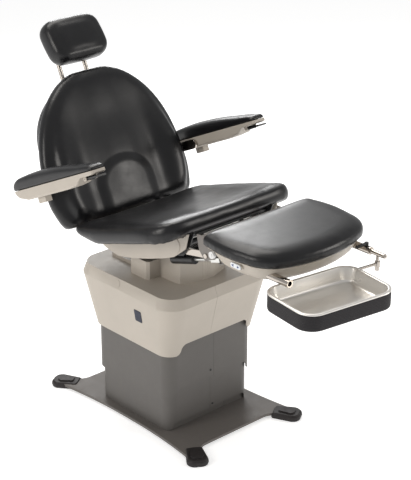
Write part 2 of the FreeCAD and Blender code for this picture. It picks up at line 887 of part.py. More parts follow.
def power_inlet():
    """Recessed mains inlet in the rear of the lower cover, with three contact blades."""
    half_wide, half_tall, wall = k.inlet_wide / 2, k.inlet_tall / 2, k.inlet_well_wall
    rear = k.lower_half_y + k.screw_head_tall
    x, z = (k.inlet_x - half_wide, k.inlet_x + half_wide), (k.inlet_z - half_tall, k.inlet_z + half_tall)
    case = block("inlet_case", x, (rear - k.inlet_deep, rear), z)
    well = block("inlet_well", (x[0] + wall, x[1] - wall), (rear - k.inlet_well_deep, rear + wall),
                 (z[0] + wall, z[1] - wall))
    blades = []
    for number, step in enumerate((-1, 0, 1)):
        half = k.screw_stem_radius / 2
        centre = k.inlet_x + k.inlet_wide * 0.2 * step
        blades.append(block("inlet_blade_%d" % number, (centre - half, centre + half),
                            (rear - k.inlet_well_deep - wall / 2, rear - wall),
                            (k.inlet_z - half_tall / 3, k.inlet_z + half_tall / 3)))
    hollow = cut("inlet_hollow", case, [well])
    return keep("power_inlet", join("inlet_whole", [hollow] + blades))


def kick_panel():
    """Plate that closes the space behind the front arch, in two lengths with a fine joint."""
    y = -k.lower_half_y + k.cover_wall + k.kick_inset
    half = k.lower_half_x - k.lower_corner * 0.5
    high = plate_top_z + k.lower_arch_tall + k.kick_inset
    tab = k.kick_inset
    face = block("kick_face", (-half, half), (y, y + k.kick_thick), (plate_top_z, high))
    shelf = block("kick_shelf", (-half, half), (y, y + tab * 2), (plate_top_z, plate_top_z + k.kick_thick))
    groove_x = half * 0.46
    groove = block("kick_groove", (groove_x, groove_x + k.cover_seam_gap),
                   (y - k.kick_thick, y + k.kick_thick / 2), (plate_top_z, high + tab))
    return keep("kick_panel", cut("kick_whole", join("kick_join", [face, shelf]), [groove]))


def control_box():
    """Power supply and control case beside the column."""
    half_long, rear = k.control_long / 2, k.lower_half_y - k.cover_wall - k.control_gap * 2
    case = block("control_case", (-half_long, half_long * 0.35), (rear - k.control_wide, rear),
                 (plate_top_z, plate_top_z + k.control_tall))
    return keep("control_box", group("control_group", [case]))


# Telescopic column with its actuator

mid_tube_half = k.outer_tube_half - k.tube_wall - k.glide_gap
inner_tube_half = mid_tube_half - k.tube_wall - k.glide_gap
head_low_z = k.shroud_top_z - k.shroud_wall - k.head_gap - k.head_thick


def column_tubes():
    keep("column_outer_tube", square_tube("outer_tube", k.outer_tube_half, k.outer_tube_half,
         k.tube_corner, k.tube_wall, plate_top_z, k.outer_tube_top_z))
    tube = square_tube("mid_tube", mid_tube_half, mid_tube_half, k.tube_corner, k.tube_wall,
                       k.mid_tube_low_z, k.mid_tube_top_z)
    keep("column_mid_tube", join("mid_tube_whole", [tube] + cover_arms()))
    keep("column_inner_tube", square_tube("inner_tube", inner_tube_half, inner_tube_half,
         k.tube_corner, k.tube_wall, k.inner_tube_low_z, head_low_z))


def cover_arms():
    """Flat arms at the top of the middle tube that carry the middle cover."""
    near, half, high = mid_tube_half - k.tube_wall / 2, k.glide_wide / 4, k.mid_tube_top_z
    far_x = mid_half_x - k.cover_wall - k.soft_gap
    far_y = mid_half_y - k.cover_wall - k.soft_gap
    z = (high - k.ram_floor_thick, high)
    return [
        block("cover_arm_left", (near, far_x), (-half, half), z),
        block("cover_arm_right", (-far_x, -near), (-half, half), z),
        block("cover_arm_rear", (-half, half), (near, far_y), z),
        block("cover_arm_front", (-half, half), (-far_y, -near), z)]


def glide_pads(node, tube_half, low):
    """Four plastic pads on the outside of a tube, near its lower end."""
    pads = []
    near, far, half = tube_half, tube_half + k.glide_gap - k.glide_clear, k.glide_wide / 2
    for number, (x, y) in enumerate((
            ((near, far), (-half, half)), ((-far, -near), (-half, half)),
            ((-half, half), (near, far)), ((-half, half), (-far, -near)))):
        pads.append(block("%s_%d" % (node, number), x, y, (low, low + k.glide_tall)))
    return keep(node, group(node + "_group", pads))


def lift_actuator():
    """Spindle on the base plate, the middle ram around it and the sleeve around that."""
    floor = (0, 0, plate_top_z)
    keep("lift_spindle", join("spindle_whole", [
        rod("spindle", k.spindle_radius, floor, "Z", k.spindle_top_z - plate_top_z),
        rod("spindle_flange", k.spindle_flange_radius, floor, "Z", k.spindle_flange_thick)]))
    low, half = k.mid_tube_low_z, mid_tube_half - k.tube_wall
    deck = rounded_post("mid_floor", half, half, k.tube_corner - k.tube_wall, low, low + k.ram_floor_thick)
    ram = rod("mid_ram_bar", k.ram_radius, (0, 0, low), "Z", k.ram_top_z - low)
    bore = rod("mid_ram_bore", k.spindle_radius + k.ram_clear, (0, 0, low - k.ram_clear), "Z", k.ram_top_z)
    keep("lift_ram_mid", cut("mid_ram_whole", join("mid_ram_join", [deck, ram]), [bore]))
    low = k.inner_tube_low_z
    sleeve = rod("sleeve_bar", k.sleeve_radius, (0, 0, low), "Z", head_low_z - low)
    bore = rod("sleeve_bore", k.ram_radius + k.ram_clear, (0, 0, low - k.ram_clear), "Z", head_low_z)
    keep("lift_ram_upper", cut("sleeve_whole", sleeve, [bore]))


def lift_motor():
    """Motor that stands beside the column, on a gearbox that leads in under it."""
    x, half = k.motor_x, k.gearbox_wide / 2
    box = block("gearbox", (x - half * 0.9, x + half * 0.9), (-half, half), (plate_top_z, plate_top_z + k.gearbox_tall))
    motor = rod("motor_can", k.motor_radius, (x, 0, plate_top_z + k.gearbox_tall), "Z", k.motor_tall)
    return keep("lift_motor", join("lift_motor_whole", [box, motor]))


def mid_cover():
    shell = cover_with_arch("mid", mid_half_x, mid_half_y, k.mid_corner, k.cover_wall,
                            k.mid_low_z, k.mid_top_z, k.lower_arch_half, k.mid_arch_tall)
    pierced = cut("mid_pierced", shell, [
        screw_hole("mid_screw_hole", -k.mid_screw_x, k.mid_screw_z, mid_half_y)])
    halves("mid_cover", pierced, k.mid_seam_x, mid_half_x * 2, k.mid_low_z, k.mid_top_z)
    keep("mid_cover_screw", cover_screw("mid_screw", k.mid_seam_x, -k.mid_screw_x, k.mid_screw_z, mid_half_y))


# Frames that turn: the seat about the tilt shaft, the back about its hinge, the foot section

def frame_at(y, z, angle):
    return FreeCAD.Placement(vector(0, y, z), FreeCAD.Rotation(ACROSS, -float(angle)))


SEAT = frame_at(-k.tilt_y, k.tilt_z, k.seat_angle)
BACK = FreeCAD.Placement(SEAT.multVec(vector(0, k.recline_y, k.recline_z)),
                         FreeCAD.Rotation(ACROSS, -float(k.back_angle)))
FOOT = FreeCAD.Placement(SEAT.multVec(vector(0, -k.foot_hinge_y, -k.foot_hinge_z)), FreeCAD.Rotation())
HEAD = FreeCAD.Placement(BACK.multVec(vector(0, k.post_y, k.head_pivot_z)),
                         FreeCAD.Rotation(ACROSS, -float(k.back_angle + k.head_turn_angle)))


def side_plate(name, corners, x, thick):
    """A plate drawn from the side (y, z) whose middle stands at x."""
    return bind(plate(name, "X", corners, thick, True), **{"Placement.Base.x": x})


def across(name, radius, y, z, x):
    """A round bar along X over the range x."""
    return rod(name, radius, (x[0], y, z), "X", x[1] - x[0])


def span(near, far, side):
    """The range from near to far, on the left (side 1) or the right (side -1)."""
    return (near, far) if side > 0 else (-far, -near)


# Shroud over the column head, with the neck that rises from it

def shroud_loft(name, inset, low, high):
    """Tapered box: wide at its crease, with a bevel above it."""
    sections = []
    for x, y, z, corner in (
            (shroud_low_x, shroud_low_y, low, k.shroud_low_corner),
            (shroud_crease_x, shroud_crease_y, k.shroud_crease_z, k.shroud_crease_corner),
            (shroud_top_x, shroud_top_y, high, k.shroud_top_corner)):
        sections.append(wire_of(rounded_corners(x - inset, y - inset, corner - inset), level(z)))
    return solid(name, loft(sections, True))


def neck_blocks(name, inset, base, lift):
    """Wing, stem with its wedge front, and rear block, each less the inset on its sides."""
    wing_x, wing_y, wing_rear = neck_wing_x - inset, k.neck_wing_front_y - inset, k.neck_wing_rear_y - inset
    c = k.neck_corner
    wing = plate(name + "_wing", "Z", [
        (-wing_x, -wing_y + c), (c - wing_x, -wing_y), (wing_x - c, -wing_y), (wing_x, c - wing_y),
        (wing_x, wing_rear - c), (wing_x - c, wing_rear), (c - wing_x, wing_rear), (-wing_x, wing_rear - c),
    ], k.neck_top_z - lift - base)
    stem_x, front, nose_y = neck_stem_x - inset, k.neck_stem_front_y - inset, k.neck_nose_y - inset
    step, stem_rear = (nose_y - front) * 0.3, k.shroud_wall - k.neck_wing_front_y - inset
    stem = plate(name + "_stem", "Z", [
        (-stem_x, stem_rear), (-stem_x, c - front), (c * 0.6 - stem_x, -front - step),
        (-k.neck_nose_x, -nose_y), (k.neck_nose_x, -nose_y),
        (stem_x - c * 0.6, -front - step), (stem_x, c - front), (stem_x, stem_rear),
    ], k.neck_stem_top_z + inset * 2 - base)
    rear_x, rear_y = neck_rear_x - inset, k.neck_rear_y - inset
    rear = plate(name + "_rear", "Z", [
        (-rear_x, 0), (rear_x, 0), (rear_x, rear_y - c), (rear_x - c, rear_y),
        (c - rear_x, rear_y), (-rear_x, rear_y - c),
    ], k.neck_rear_top_z - lift - base)
    for piece in (wing, stem, rear):
        bind(piece, **{"Placement.Base.z": base})
    return [wing, stem, rear]


def shroud():
    wall, top = k.shroud_wall, k.shroud_top_z
    outer = join("shroud_outer", [shroud_loft("shroud_outside", 0, k.shroud_low_z, top)]
                 + neck_blocks("neck_outer", wall * 0, top - wall * 2, wall * 0))
    inner = [shroud_loft("shroud_inside", wall, k.shroud_low_z - wall, top - wall)]
    inner += neck_blocks("neck_inner", wall, top - wall * 3, wall)
    well_x, well_y = k.tilt_pin_half + wall * 2, k.neck_wing_front_y
    inner.append(block("tilt_well", (-well_x, well_x), (-well_y - wall, wall), (top, k.neck_stem_top_z + wall)))
    passage_x = neck_stem_x - wall
    inner.append(block("neck_passage", (-passage_x, passage_x), (-well_y - wall, wall * 2 - well_y),
                       (top - wall * 2, k.neck_top_z - wall)))
    inner.append(arch_cutter("shroud_arch", k.shroud_arch_half, k.shroud_arch_tall, shroud_crease_y * 3,
                             k.shroud_low_z))
    inner.append(plug_body("plug_seat", k.plug_radius + k.shaft_clear, k.plug_deep * 3, k.plug_deep))
    for number in range(4):
        x = -k.neck_nose_x + k.neck_nose_x * 0.4 * number
        inner.append(block("nose_groove_%d" % number, (x, x + k.cover_seam_gap * 2),
                           (-k.neck_nose_y - wall, wall * 0.2 - k.neck_nose_y),
                           (top + wall * 2, k.neck_stem_top_z - wall * 2)))
    halves("shroud", cut("shroud_shell", outer, inner), -k.shroud_seam_x, shroud_crease_y * 2,
           k.shroud_low_z - wall, k.neck_stem_top_z + wall * 3)


def bevel_turn():
    """How far the bevel above the crease leans in, as an angle from upright."""
    return math.degrees(math.atan2(float(shroud_crease_x - shroud_top_x),
                                   float(k.shroud_top_z - k.shroud_crease_z)))


def plug_body(name, radius, long, proud):
    """A short cylinder square to the bevel on the right side."""
    share = (float(k.plug_z) - float(k.shroud_crease_z)) / (float(k.shroud_top_z) - float(k.shroud_crease_z))
    x = shroud_crease_x - (shroud_crease_x - shroud_top_x) * share
    shape = Part.makeCylinder(float(radius), float(long), FreeCAD.Vector(0, 0, float(proud) - float(long)))
    turn = FreeCAD.Rotation(FreeCAD.Vector(0, 1, 0), bevel_turn() - 90)
    return solid(name, shape, FreeCAD.Placement(vector(-x, k.plug_y, k.plug_z), turn))


def shroud_details():
    keep("plug_button", group("plug_group", [plug_body("plug", k.plug_radius, k.plug_deep, k.plug_proud)]))
    share = (float(k.badge_z) - float(k.shroud_low_z)) / (float(k.shroud_crease_z) - float(k.shroud_low_z))
    x = shroud_low_x + (shroud_crease_x - shroud_low_x) * share
    lean = math.degrees(math.atan2(float(shroud_crease_x - shroud_low_x),
                                   float(k.shroud_crease_z - k.shroud_low_z)))
    outline = rounded_corners(k.badge_tall / 2, k.badge_wide / 2, k.badge_corner)
    shape = Part.Face(wire_of(outline, level(0))).extrude(vector(0, 0, k.badge_thick))
    turn = FreeCAD.Rotation(FreeCAD.Vector(0, 1, 0), -lean - 90)
    keep("side_plate", solid("badge", shape, FreeCAD.Placement(vector(-x, -k.badge_y, k.badge_z), turn)))


# Lift head under the shroud, with the cheeks that carry the tilt shaft, and the tilt drive

def lift_head():
    high = head_low_z + k.head_thick
    y, z, boss = -k.tilt_y, k.tilt_z, k.tilt_boss_radius
    front, rear, wall = -k.cheek_foot_front_y, k.cheek_rear_y, k.shroud_wall
    knee, gap = -k.neck_wing_front_y - wall * 2, wall * 2
    deck = block("head_deck", (-k.head_half_x, k.head_half_x), (-k.head_half_y, k.head_half_y), (head_low_z, high))
    low = high - k.shroud_wall / 2
    cheeks = []
    for side in (1, -1):
        tag = "left" if side > 0 else "right"
        outline = [
            (front, low), (rear, low), (rear, k.neck_rear_top_z - gap), (wall * 5, k.neck_rear_top_z - gap),
            (wall * 3, k.neck_top_z - gap), (knee, k.neck_top_z - gap), (knee, k.neck_stem_top_z - wall),
            (y + boss * 0.55, z + boss * 0.8, y, z + boss),
            (y - boss * 0.6, z + boss * 0.8, y - boss, z),
            (y - boss * 0.85, z - boss * 0.5),
            (front, k.neck_stem_top_z - wall),
        ]
        cheeks.append(side_plate("cheek_" + tag, outline, (cheek_x + k.cheek_thick / 2) * side, k.cheek_thick))
    thick, boss_y, boss_z = k.cheek_web_thick, y - boss * 0.62, z - boss * 0.95
    web = side_plate("head_web", [
        (front, k.neck_stem_top_z - wall * 14), (front + thick, k.neck_stem_top_z - wall * 14),
        (front + thick, k.neck_stem_top_z), (boss_y + thick, boss_z), (boss_y, boss_z),
        (front, k.neck_stem_top_z - wall),
    ], 0, cheek_x * 2)
    bores = [
        across("cheek_bore", k.tilt_shaft_radius + k.shaft_clear, y, z, (-cheek_x * 2, cheek_x * 2)),
        rod("ram_hole", k.tilt_ram_radius, (0, -k.tilt_ram_y, head_low_z - wall), "Z", k.head_thick * 2),
    ]
    spot, half = k.head_half_x * 0.8, k.cheek_thick
    rests = []
    for side_x in (1, -1):
        for side_y in (1, -1):
            rests.append(block("shroud_rest_%d_%d" % (side_x, side_y), (spot * side_x - half, spot * side_x + half),
                               (spot * side_y - half, spot * side_y + half), (low, high + k.head_gap - k.soft_gap)))
    keep("lift_head", cut("lift_head_whole", join("lift_head_join", [deck, web] + cheeks + rests), bores))


def tilt_drive():
    """Upright actuator in the neck; its rod's pin runs in the slot under the seat."""
    y, low, high = -k.tilt_ram_y, k.tilt_ram_low_z, k.tilt_ram_high_z
    bore = rod("tilt_bore", k.tilt_rod_radius + k.shaft_clear, (0, y, low + k.tilt_ram_radius), "Z", high - low)
    case = rod("tilt_case", k.tilt_ram_radius, (0, y, low), "Z", high - low)
    keep("tilt_actuator_body", cut("tilt_body_whole", case, [bore]))
    eye_half = k.lug_thick + k.lug_gap / 2
    keep("tilt_actuator_rod", join("tilt_rod_whole", [
        rod("tilt_rod_bar", k.tilt_rod_radius, (0, y, low + (high - low) * 0.55), "Z",
            k.tilt_pin_z - low - (high - low) * 0.55),
        across("tilt_rod_eye", k.tilt_eye_radius, y, k.tilt_pin_z, (-eye_half, eye_half)),
        across("tilt_rod_pin", k.tilt_pin_radius, y, k.tilt_pin_z, (-k.tilt_pin_half, k.tilt_pin_half)),
    ]))


# Seat: frame, shaft, shells, cushion and the two drives that hang in it

def seat_frame():
    deck_low = k.seat_low_z - k.deck_thick
    y, z, eye = k.recline_y, k.recline_z, k.recline_eye_radius
    deck = block("seat_deck", (-k.deck_half, k.deck_half), (-k.deck_front_y, k.deck_rear_y),
                 (deck_low, k.seat_low_z))
    pieces = [deck]
    for side in (1, -1):
        tag = "left" if side > 0 else "right"
        pieces.append(side_plate("rail_" + tag, [
            (y - eye * 0.66, z + eye * 0.75, y + eye * 0.5, z + eye * 0.866),
            (y + eye, z, y + eye * 0.707, z - eye * 0.707), (y, z - eye),
            (k.deck_rear_y, -k.rail_low_z * 0.4), (k.rail_low_z * 1.6, -k.rail_low_z),
            (-k.rail_low_z * 0.2, -k.rail_low_z), (-k.deck_front_y * 0.9, -k.rail_low_z * 0.27),
            (k.cap_disc_radius * 0.1 - k.seat_front_y * 0.955, k.seat_low_z * 1.36),
            (k.cap_disc_radius * 0.3 - k.seat_front_y * 0.955, k.seat_low_z * 1.5),
            (k.cap_disc_radius * 0.12 - k.deck_front_y, deck_low + k.deck_thick * 0.5),
            (k.deck_rear_y * 1.05, deck_low + k.deck_thick * 0.5),
        ], (rail_x + k.rail_thick / 2) * side, k.rail_thick))
        pieces.append(across("recline_pin_" + tag, k.recline_pin_radius, y, z,
                             span(rail_x - k.lug_gap, rail_x + k.recline_pin_half + k.lug_gap * 4, side)))
        bracket = k.lug_thick + k.lug_gap + k.lug_thick / 2
        pieces.append(slot_bracket(tag, bracket * side, deck_low))
    for name, ty, tz in (("rear", k.deck_rear_y + k.cross_radius * 3.4, k.seat_low_z * 0.55),
                         ("front", -k.rail_low_z, -k.cross_radius * 0.2)):
        pieces.append(across("cross_" + name, k.cross_radius, ty, tz, (-rail_x, rail_x)))
    tools = [across("shaft_hole", k.tilt_shaft_radius + k.shaft_clear, 0, 0, (-k.deck_half, k.deck_half))]
    for side in (1, -1):
        tools.append(block("boss_notch_left" if side > 0 else "boss_notch_right",
                           span(cheek_x - k.cheek_thick * 0.3, cheek_x + k.cheek_thick * 1.3, side),
                           (-k.tilt_boss_radius * 1.2, k.tilt_boss_radius * 1.6),
                           (deck_low - k.lug_gap, k.seat_low_z + k.lug_gap)))
    keep("seat_frame", cut("seat_frame_whole", join("seat_frame_join", pieces), tools), SEAT)


def tilt_pin_place():
    """The tilt pin's place in the seat frame."""
    at = SEAT.inverse().multVec(vector(0, -k.tilt_ram_y, k.tilt_pin_z))
    return at.y, at.z


def slot_bracket(tag, x, deck_low):
    """A plate that hangs from the deck; the tilt pin slides in its slot as the seat turns."""
    y, z = tilt_pin_place()
    reach, rim = k.tilt_pin_radius + k.slot_clear, k.slot_rim
    front, rear = -k.slot_travel_front + y, k.slot_travel_rear + y
    outer = reach + rim
    skin = side_plate("slot_plate_" + tag, [
        (front - outer, deck_low + k.lug_gap), (front - outer, z, front - outer * 0.707, z - outer * 0.707),
        (front, z - outer), (rear, z - outer, rear + outer * 0.707, z - outer * 0.707),
        (rear + outer, z), (rear + outer, deck_low + k.lug_gap)], x, k.lug_thick)
    slot = side_plate("slot_" + tag, [
        (front, z - reach), (rear, z - reach, rear + reach, z), (rear, z + reach),
        (front, z + reach, front - reach, z)], x, k.lug_thick * 2)
    return cut("slot_bracket_" + tag, skin, [slot])


def tilt_shaft():
    reach = skirt_x - k.skirt_wall - k.lug_gap
    keep("tilt_shaft", group("tilt_shaft_group", [
        across("shaft_bar", k.tilt_shaft_radius, 0, 0, (-reach, reach))]), SEAT)


def seat_shells():
    """Side skirts that close the seat frame, each with a round cap over the shaft's end."""
    high = k.seat_low_z
    low, rear, front = -k.skirt_low_z, k.skirt_rear_y, -k.skirt_front_y
    for side, tag in ((-1, "right"), (1, "left")):
        skirt = side_plate("skirt_" + tag, [
            (rear * 1.02, -low * 0.72), (rear * 1.035, low * 0.06), (rear, low * 0.26),
            (rear * 0.84, low * 0.84), (rear * 0.64, low * 0.98), (rear * 0.4, low),
            (rear * 0.17, low * 0.94), (rear * 0.035, low * 0.84), (front * 0.63, low * 0.32),
            (front, -low * 0.68), (front * 0.91, -low * 0.66), (front * 0.63, high),
            (rear * 0.862, high), (rear * 0.95, -low * 0.55),
        ], (skirt_x - k.skirt_wall / 2) * side, k.skirt_wall)
        disc = across("disc_" + tag, k.cap_disc_radius, 0, 0,
                      span(skirt_x - k.skirt_wall, skirt_x + k.cap_disc_proud, side))
        above = block("disc_trim_" + tag, span(skirt_x - k.skirt_wall * 2, skirt_x + k.skirt_wall, side),
                      (-k.cap_disc_radius * 2, k.cap_disc_radius * 2), (high, high + k.cap_disc_radius))
        trimmed = cut("disc_trimmed_" + tag, disc, [above])
        keep("seat_shell_" + tag, join("seat_shell_whole_" + tag, [skirt, trimmed]), SEAT)


def seat_cushion():
    """Upholstered seat: rolled sides, a shallow dish and a rear underside that rises."""
    half, low, top, dish = k.seat_half, k.seat_low_z, k.seat_top_z, k.seat_dish
    rear, front, tuck = k.seat_rear_y, -k.seat_front_y, k.seat_tuck
    rows = (
        (front, 0.66, 0.34, 0.74, 0.1), (front * 0.955, 0.78, 0.25, 0.88, 0.2),
        (front * 0.84, 0.865, 0.17, 0.95, 0.35), (front * 0.54, 0.94, 0.01, 0.985, 0.6),
        (0, 0.99, 0, 1, 0.85), (rear * 0.25, 1, 0, 1, 1), (rear * 0.54, 1, 0, 1, 1),
        (rear * 0.735, 0.99, 0.01, 1, 0.9), (rear * 0.86, 0.977, 0.3, 0.995, 0.7),
        (rear * 0.98, 0.945, 0.6, 0.965, 0.4), (rear * 1.007, 0.91, 0.69, 0.88, 0.2))
    sections = []
    for y, wide, under, over, sunk in rows:
        x, span_z = half * wide, top - low
        base, edge = low + span_z * under, low + span_z * over
        side_z, lip = (base + edge) / 2, x - tuck * (over - under)
        foot = x - tuck * 0.55 * (over - under)
        right = [(-foot, base), (foot, base, x, side_z)] + ess((lip, edge), (0, edge - dish * sunk))
        right += ess((0, edge - dish * sunk), (-lip, edge)) + [(-lip, edge, -x, side_z)]
        corners = [tuple(float(value) for value in corner) for corner in right]
        sections.append(wire_of(corners, lambda a, b, at=y: vector(a, at, b)))
    rest, deck_rear = low + k.soft_gap, k.deck_rear_y
    seat_room = side_plate("seat_room", [
        (front * 0.98, -low), (front * 0.98, low * 1.57), (front * 0.85, low * 1.57),
        (front * 0.58, rest), (deck_rear + k.lug_gap * 2, rest), (deck_rear * 1.12, low * 1.4),
        (deck_rear * 1.25, low * 2.2), (rear * 1.1, low * 2.3), (rear * 1.1, -low)], low * 0, k.seat_half * 3)
    keep("seat_cushion", cut("seat_cushion_whole", solid("seat_cushion_body", loft(sections)), [seat_room]), SEAT)


def crank_pin_in_seat():
    angle = k.crank_angle
    return k.recline_y + sine(angle) * k.crank_arm, k.recline_z - cosine(angle) * k.crank_arm


def back_drive():
    """Actuator along the left rail; its fork holds the roller in the back's crank slot."""
    y, z = crank_pin_in_seat()
    x, front = crank_x, k.back_drive_front_y
    long, radius = k.drive_case_long, k.drive_case_radius
    case = rod("back_case", radius, (x, front, z), "Y", long)
    bore = rod("back_bore", k.drive_rod_radius + k.shaft_clear, (x, front + radius * 0.5, z), "Y", long)
    hanger = block("back_hanger", (x - k.lug_thick / 2, x + k.lug_thick / 2),
                   (front + long * 0.3, front + long * 0.5), (z + radius * 0.8, k.seat_low_z - k.deck_thick))
    keep("back_actuator_body", cut("back_body_whole", join("back_body_join", [case, hanger]), [bore]), SEAT)
    gap = k.crank_thick / 2 + k.lug_gap
    start, neck = front + long * 0.55, y - k.crank_arm
    pieces = [rod("back_rod_bar", k.drive_rod_radius, (x, start, z), "Y", neck - start),
              block("back_fork_root", (x - gap - k.drive_fork_thick, x + gap + k.drive_fork_thick),
                    (neck - k.drive_fork_thick, neck), (z - k.drive_rod_radius, z + k.drive_rod_radius))]
    for side in (1, -1):
        near, far = x + gap * side, x + (gap + k.drive_fork_thick) * side
        pieces.append(block("back_fork_left" if side > 0 else "back_fork_right",
                            (near, far) if side > 0 else (far, near),
                            (neck - k.drive_fork_thick, y + k.drive_rod_radius),
                            (z - k.drive_rod_radius, z + k.drive_rod_radius)))
    reach = gap + k.drive_fork_thick
    pieces.append(across("back_roller", k.crank_roller_radius, y, z, (x - reach, x + reach)))
    keep("back_actuator_rod", join("back_rod_whole", pieces), SEAT)


def foot_brackets():
    """Bars bolted inside the rails, with the pins the foot section turns on."""
    y, z, half = -k.foot_hinge_y, -k.foot_hinge_z, k.foot_bar_tall / 2
    pieces = []
    for side, tag in ((-1, "right"), (1, "left")):
        x = (foot_bar_x + rail_x) / 2 * side
        bar = side_plate("foot_bar_" + tag, [
            (y - half * 0.3, z - half * 1.15), (-k.tilt_shaft_radius * 1.1, -k.rail_low_z * 0.9),
            (-k.tilt_shaft_radius * 1.1, -k.rail_low_z * 0.42), (y - half * 0.3, z + half * 1.15, y - half * 1.45, z),
        ], x, rail_x - foot_bar_x)
        pin = across("foot_pin_" + tag, k.foot_pin_radius, y, z,
                     span(foot_bar_x - k.lug_gap * 3, channel_x + k.lug_gap * 4, side))
        pieces += [join("foot_bracket_" + tag, [bar, pin])]
    keep("foot_hinge_brackets", group("foot_brackets_group", pieces), SEAT)


def foot_crank_pin():
    """The foot crank pin's place in the seat frame: on a level line below the hinge."""
    down = k.foot_crank_arm * cosine(k.foot_swing_angle)
    ahead = down * sine(k.foot_crank_angle) / cosine(k.foot_crank_angle)
    return -k.foot_hinge_y - ahead, -k.foot_hinge_z - down


def foot_drive():
    """Actuator under the right rail that turns the foot section by its crank."""
    y, z = foot_crank_pin()
    x, rear, long, radius = -foot_drive_x, k.foot_drive_rear_y, k.foot_case_long, k.foot_case_radius
    case = rod("foot_case", radius, (x, rear - long, z), "Y", long)
    bore = rod("foot_bore", k.foot_rod_radius + k.shaft_clear, (x, rear - long * 1.5, z), "Y", long * 1.4)
    hanger = block("foot_hanger", (x - k.lug_thick / 2, x + k.lug_thick / 2),
                   (rear - long * 0.45, rear - long * 0.2), (z + radius * 0.8, k.seat_low_z - k.deck_thick))
    keep("foot_actuator_body", cut("foot_body_whole", join("foot_body_join", [case, hanger]), [bore]), SEAT)
    gap, fork = k.crank_thick / 2 + k.lug_gap, k.drive_fork_thick
    end, neck = rear - long * 0.5, y + k.foot_crank_arm * 0.85
    pieces = [rod("foot_rod_bar", k.foot_rod_radius, (x, neck, z), "Y", end - neck),
              block("foot_fork_root", (x - gap - fork, x + gap + fork), (neck, neck + fork),
                    (z - k.foot_rod_radius, z + k.foot_rod_radius))]
    for side in (1, -1):
        near, far = x + gap * side, x + (gap + fork) * side
        pieces.append(block("foot_fork_left" if side > 0 else "foot_fork_right",
                            (near, far) if side > 0 else (far, near), (y - k.foot_rod_radius, neck + fork),
                            (z - k.foot_rod_radius, z + k.foot_rod_radius)))
    reach = gap + fork
    pieces.append(across("foot_roller_bar", k.foot_roller_pin, y, z, (x - reach, x + reach)))
    keep("foot_actuator_rod", join("foot_rod_whole", pieces), SEAT)


# Back: frame with lugs and crank, shell, cushion and arm brackets

def in_back(y, z):
    """A point of the seat frame, given in the back frame."""
    at = BACK.inverse().multVec(SEAT.multVec(vector(0, y, z)))
    return at.y, at.z


def back_frame():
    rear, thick = k.back_rear_y, k.back_plate_thick
    low, tab = k.back_plate_low_z, k.recline_eye_radius
    board = plate("back_board", "Y", [
        (-back_plate_half, low), (back_plate_half, low),
        (back_plate_half, k.back_plate_high_z * 0.66), (back_plate_half * 0.55, k.back_plate_high_z),
        (-back_plate_half * 0.55, k.back_plate_high_z), (-back_plate_half, k.back_plate_high_z * 0.66),
    ], thick, True)
    bind(board, **{"Placement.Base.y": rear + thick / 2})
    pieces, tools = [board], []
    for side, tag in ((-1, "right"), (1, "left")):
        x = back_lug_x * side
        pieces.append(side_plate("back_lug_" + tag, [
            (-tab * 0.5, tab * 0.866), (-tab * 0.5, tab * 0.866, -tab, 0),
            (-tab * 0.5, -tab * 0.866), (tab * 0.5, -tab * 0.866), (rear + thick, tab),
            (rear + thick, low * 1.4), (rear, low * 1.4), (rear, k.back_low_z - k.lug_gap * 2),
            (rear * 0.6, k.back_low_z - k.lug_gap * 2), (tab * 0.5, tab * 0.866),
        ][1:], x, k.lug_thick))
        pieces.append(post_guide(tag, side))
        tools.append(rod("guide_bore_" + tag, k.post_radius + k.shaft_clear,
                         (k.post_x * side, k.post_y, k.guide_low_z - tab), "Z", k.post_high_z))
    pieces.append(crank_plate())
    tools.append(across("back_pin_hole", k.recline_pin_radius + k.shaft_clear, 0, 0,
                        (-back_lug_x * 2, back_lug_x * 2)))
    tools.append(crank_slot())
    keep("back_frame", cut("back_frame_whole", join("back_frame_join", pieces), tools), BACK)


def post_guide(tag, side):
    """A tube for a headrest post, held off the back board by a block."""
    x, low, high = k.post_x * side, k.guide_low_z, k.guide_high_z
    tube = rod("guide_tube_" + tag, k.guide_radius, (x, k.post_y, low), "Z", high - low)
    foot = k.guide_radius * 0.6
    stand = block("guide_foot_" + tag, (x - foot, x + foot), (k.back_rear_y + k.back_plate_thick / 2, k.post_y),
                  (low, high))
    return join("guide_" + tag, [tube, stand])


def crank_line():
    """Unit direction, in the back frame, from the hinge to the crank pin at rest."""
    y, z = in_back(*crank_pin_in_seat())
    long = math.hypot(y, z)
    return y / long, z / long


def crank_plate():
    """Arm under the left side of the back that the recline actuator moves."""
    uy, uz = crank_line()
    vy, vz = -uz, uy
    reach = k.crank_roller_radius + k.crank_slot_clear + k.crank_rim
    tip = k.crank_arm * 1.0
    rear, low = k.back_rear_y, k.back_low_z - k.lug_gap * 2
    ay, az = tip * uy + reach * vy, tip * uz + reach * vz
    by, bz = tip * uy - reach * vy, tip * uz - reach * vz
    my, mz = (tip + reach) * uy, (tip + reach) * uz
    tab = k.recline_eye_radius
    corners = [(by, bz, my, mz), (ay, az), (reach * vy * 1.15, reach * vz * 1.15 + tab * 0.2),
               (rear + k.back_plate_thick, tab), (rear + k.back_plate_thick, k.back_plate_low_z * 1.4),
               (rear, k.back_plate_low_z * 1.4), (rear, low), (rear * 0.5, low), (-tab * 0.4, tab * 0.8),
               (-reach * vy, -reach * vz)]
    return side_plate("crank", corners, crank_x, k.crank_thick)


